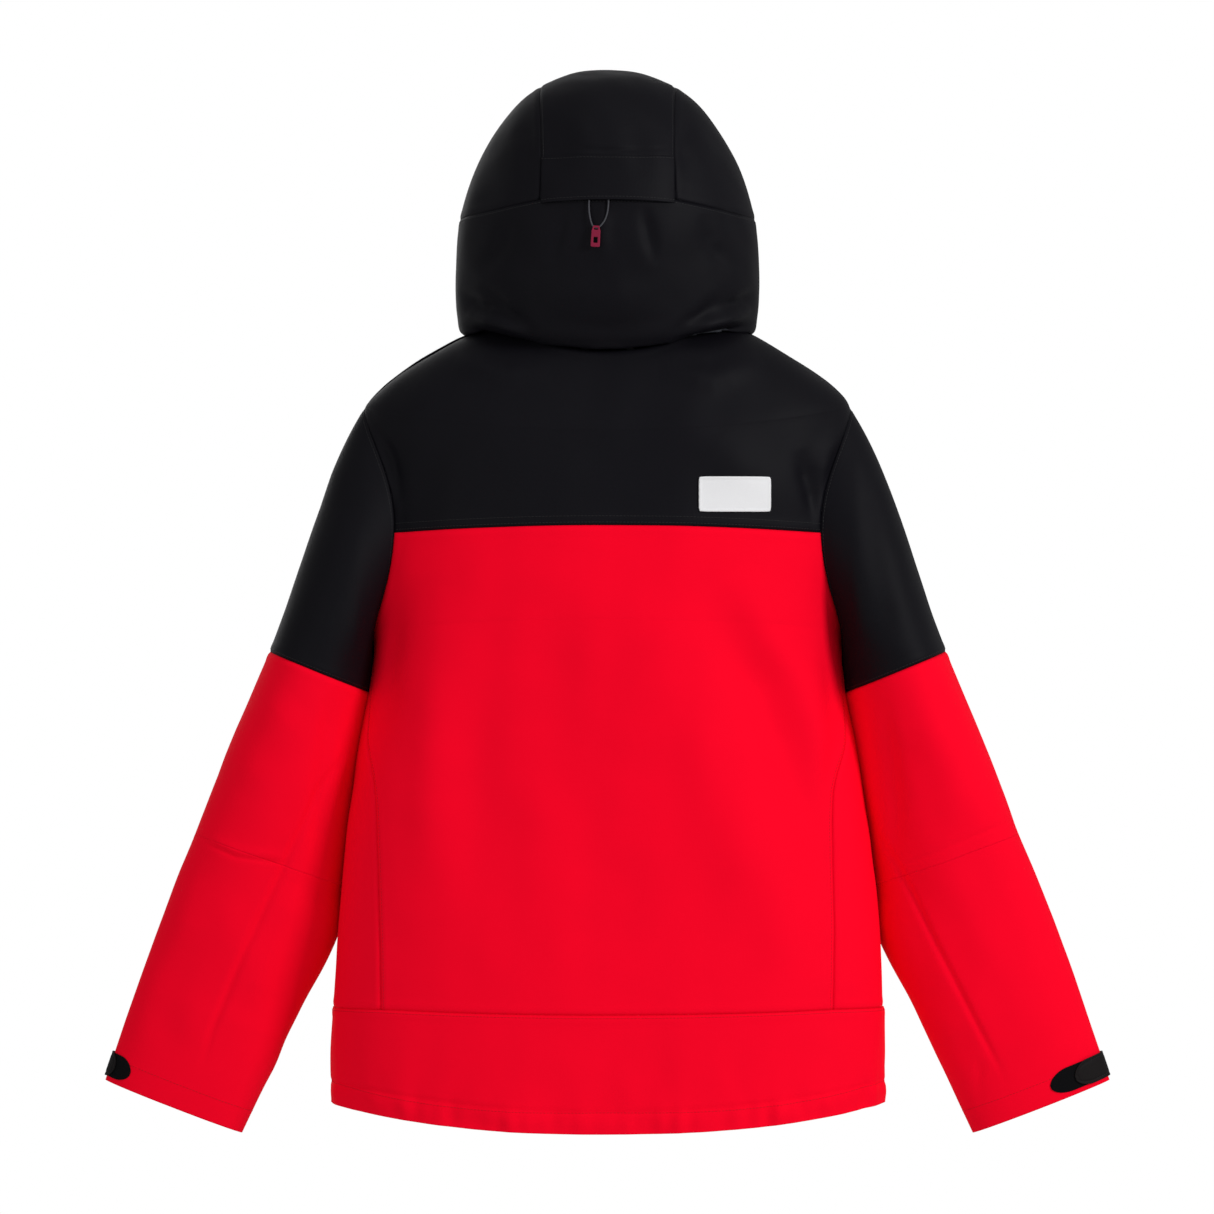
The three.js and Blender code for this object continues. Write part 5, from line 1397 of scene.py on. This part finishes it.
def softened(name, node_name, look, seed, cuts=10, depth=0.7):
    """Finer copy of a modelled solid: point + normal * depth * ripple, once its faces are cut up."""
    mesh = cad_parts[node_name].data.copy()
    mesh.name = name
    shape = bmesh.new()
    shape.from_mesh(mesh)
    bmesh.ops.remove_doubles(shape, verts=shape.verts, dist=1e-6)
    long_edges = [e for e in shape.edges if e.calc_length() > 0.006]
    bmesh.ops.subdivide_edges(shape, edges=long_edges, cuts=cuts, use_grid_fill=True)
    bmesh.ops.triangulate(shape, faces=shape.faces)
    shape.to_mesh(mesh)
    shape.free()
    points = mesh_points(mesh) * 1000
    moved = (points + mesh_points(mesh, "normal") * (depth * ripple(points, seed, 14, 60))[:, None]) / 1000
    mesh.vertices.foreach_set("co", moved.astype(np.float32).ravel())
    mesh.update()
    made = bpy.data.objects.new(name, mesh)
    bpy.context.scene.collection.objects.link(made)
    mesh.materials.clear()
    mesh.materials.append(LOOKS[look])
    mesh.polygons.foreach_set("use_smooth", np.ones(len(mesh.polygons), bool))
    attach(made, "torso")
    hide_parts(node_name)


softened("storm_flap_cloth", "storm_flap", "black_cloth", 71)
for hand, seed in (("left", 72), ("right", 73)):
    softened("hand_pocket_bag_cloth_" + hand, "hand_pocket_%s_bag" % hand, "grey_lining", seed)
softened("chest_pocket_bag_cloth", "chest_pocket_bag", "grey_lining", 74)

# The cord lies inside the hem: the body's ring there, moved inwards and up a little.
HEM_CORD_INSET, HEM_CORD_RISE, HEM_CORD_RADIUS = 11.4, 6.0, 1.45
cord_turns = np.linspace(-0.44, 0.44, 420)
cord_levels = np.full(420, 9 * 0.02)
ring_at = body(cord_levels, cord_turns)
ring_ahead = body(cord_levels, cord_turns + 0.001) - body(cord_levels, cord_turns - 0.001)
ring_up = body(cord_levels + 0.02, cord_turns) - body(cord_levels - 0.02, cord_turns)
inward = np.cross(ring_ahead, ring_up)
inward /= np.linalg.norm(inward, axis=1, keepdims=True)
inward *= -np.sign((inward * (ring_at - [0, MIDDLE_Y, 0]))[:, :2].sum(1))[:, None]
hem_line = ring_at + inward * HEM_CORD_INSET + np.array([0, 0, HEM_CORD_RISE])
hem_cord = tube_along("hem_drawcord_braid", hem_line, HEM_CORD_RADIUS, sides=10, ribs=0.05)
hem_cord.data.materials.append(LOOKS["braided_elastic"])
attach(hem_cord, "torso")
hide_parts("hem_drawcord")

# ---------------------------------------------------------------- topstitching
# The seam allowances are turned up and held by one or two rows of stitches beside each seam.
torso_black = [inset_line("back_yoke_cloth", "bottom", d) for d in (3.0, 9.0)]
torso_black += [inset_line("front_yoke_cloth_" + h, "bottom", 3.0) for h in ("left", "right")]
torso_black += [inset_line("collar_cloth", "bottom", 3.0), inset_line("collar_cloth", "top", 6.0)]
stitches = stitch_row("torso_black_stitches", torso_black)
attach(stitches, "torso")
torso_red = [inset_line("back_hem_cloth", "top", 3.0), inset_line("back_hem_cloth", "bottom", 21.0)]
torso_red += [inset_line("back_panel_cloth", e, 3.5, 0.0, 0.66) for e in ("left", "right")]
torso_red += [inset_line("front_hem_cloth_" + h, e, d) for h in ("left", "right")
              for e, d in (("top", 3.0), ("bottom", 21.0))]
torso_red += [inset_line("front_panel_cloth_" + h, "right", 4.0) for h in ("left", "right")]
stitches = stitch_row("torso_red_stitches", torso_red, "red_thread")
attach(stitches, "torso")
hood_lines = [inset_line("hood_crown_cloth", e, 3.0) for e in ("left", "right")]
hood_lines += [inset_line("hood_brim_cloth", "bottom", 3.0), inset_line("hood_brim_cloth", "top", 5.0)]
hood_lines += [inset_line("hood_flap_cloth", "bottom", 3.0), inset_line("hood_flap_cloth", "top", 2.0)]
stitches = stitch_row("hood_stitches", hood_lines)
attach(stitches, "hood")
stitches = stitch_row("hood_seam_stitches", [inset_line("hood_lower_cloth", "top", 3.0)])
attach(stitches, "hood")
for side, hand in ((1, "left"), (-1, "right")):
    black = stitch_row("sleeve_black_stitches_" + hand, [inset_line("sleeve_head_" + hand, "top", 3.0),
                                                         inset_line("sleeve_head_" + hand, "bottom", 4.0)])
    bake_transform(black)
    red = stitch_row("cuff_stitches_" + hand, [inset_line("sleeve_lower_red_" + hand, "top", 24.0)],
                     "red_thread")
    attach(red, "forearm_" + hand)
    tab_lines = [inset_line("cuff_tab_moulded_" + hand, e, 3.0, 0.0, 0.8) for e in ("top", "bottom")]
    tab = stitch_row("cuff_tab_stitches_" + hand, tab_lines)
    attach(tab, "cuff_tab_" + hand)
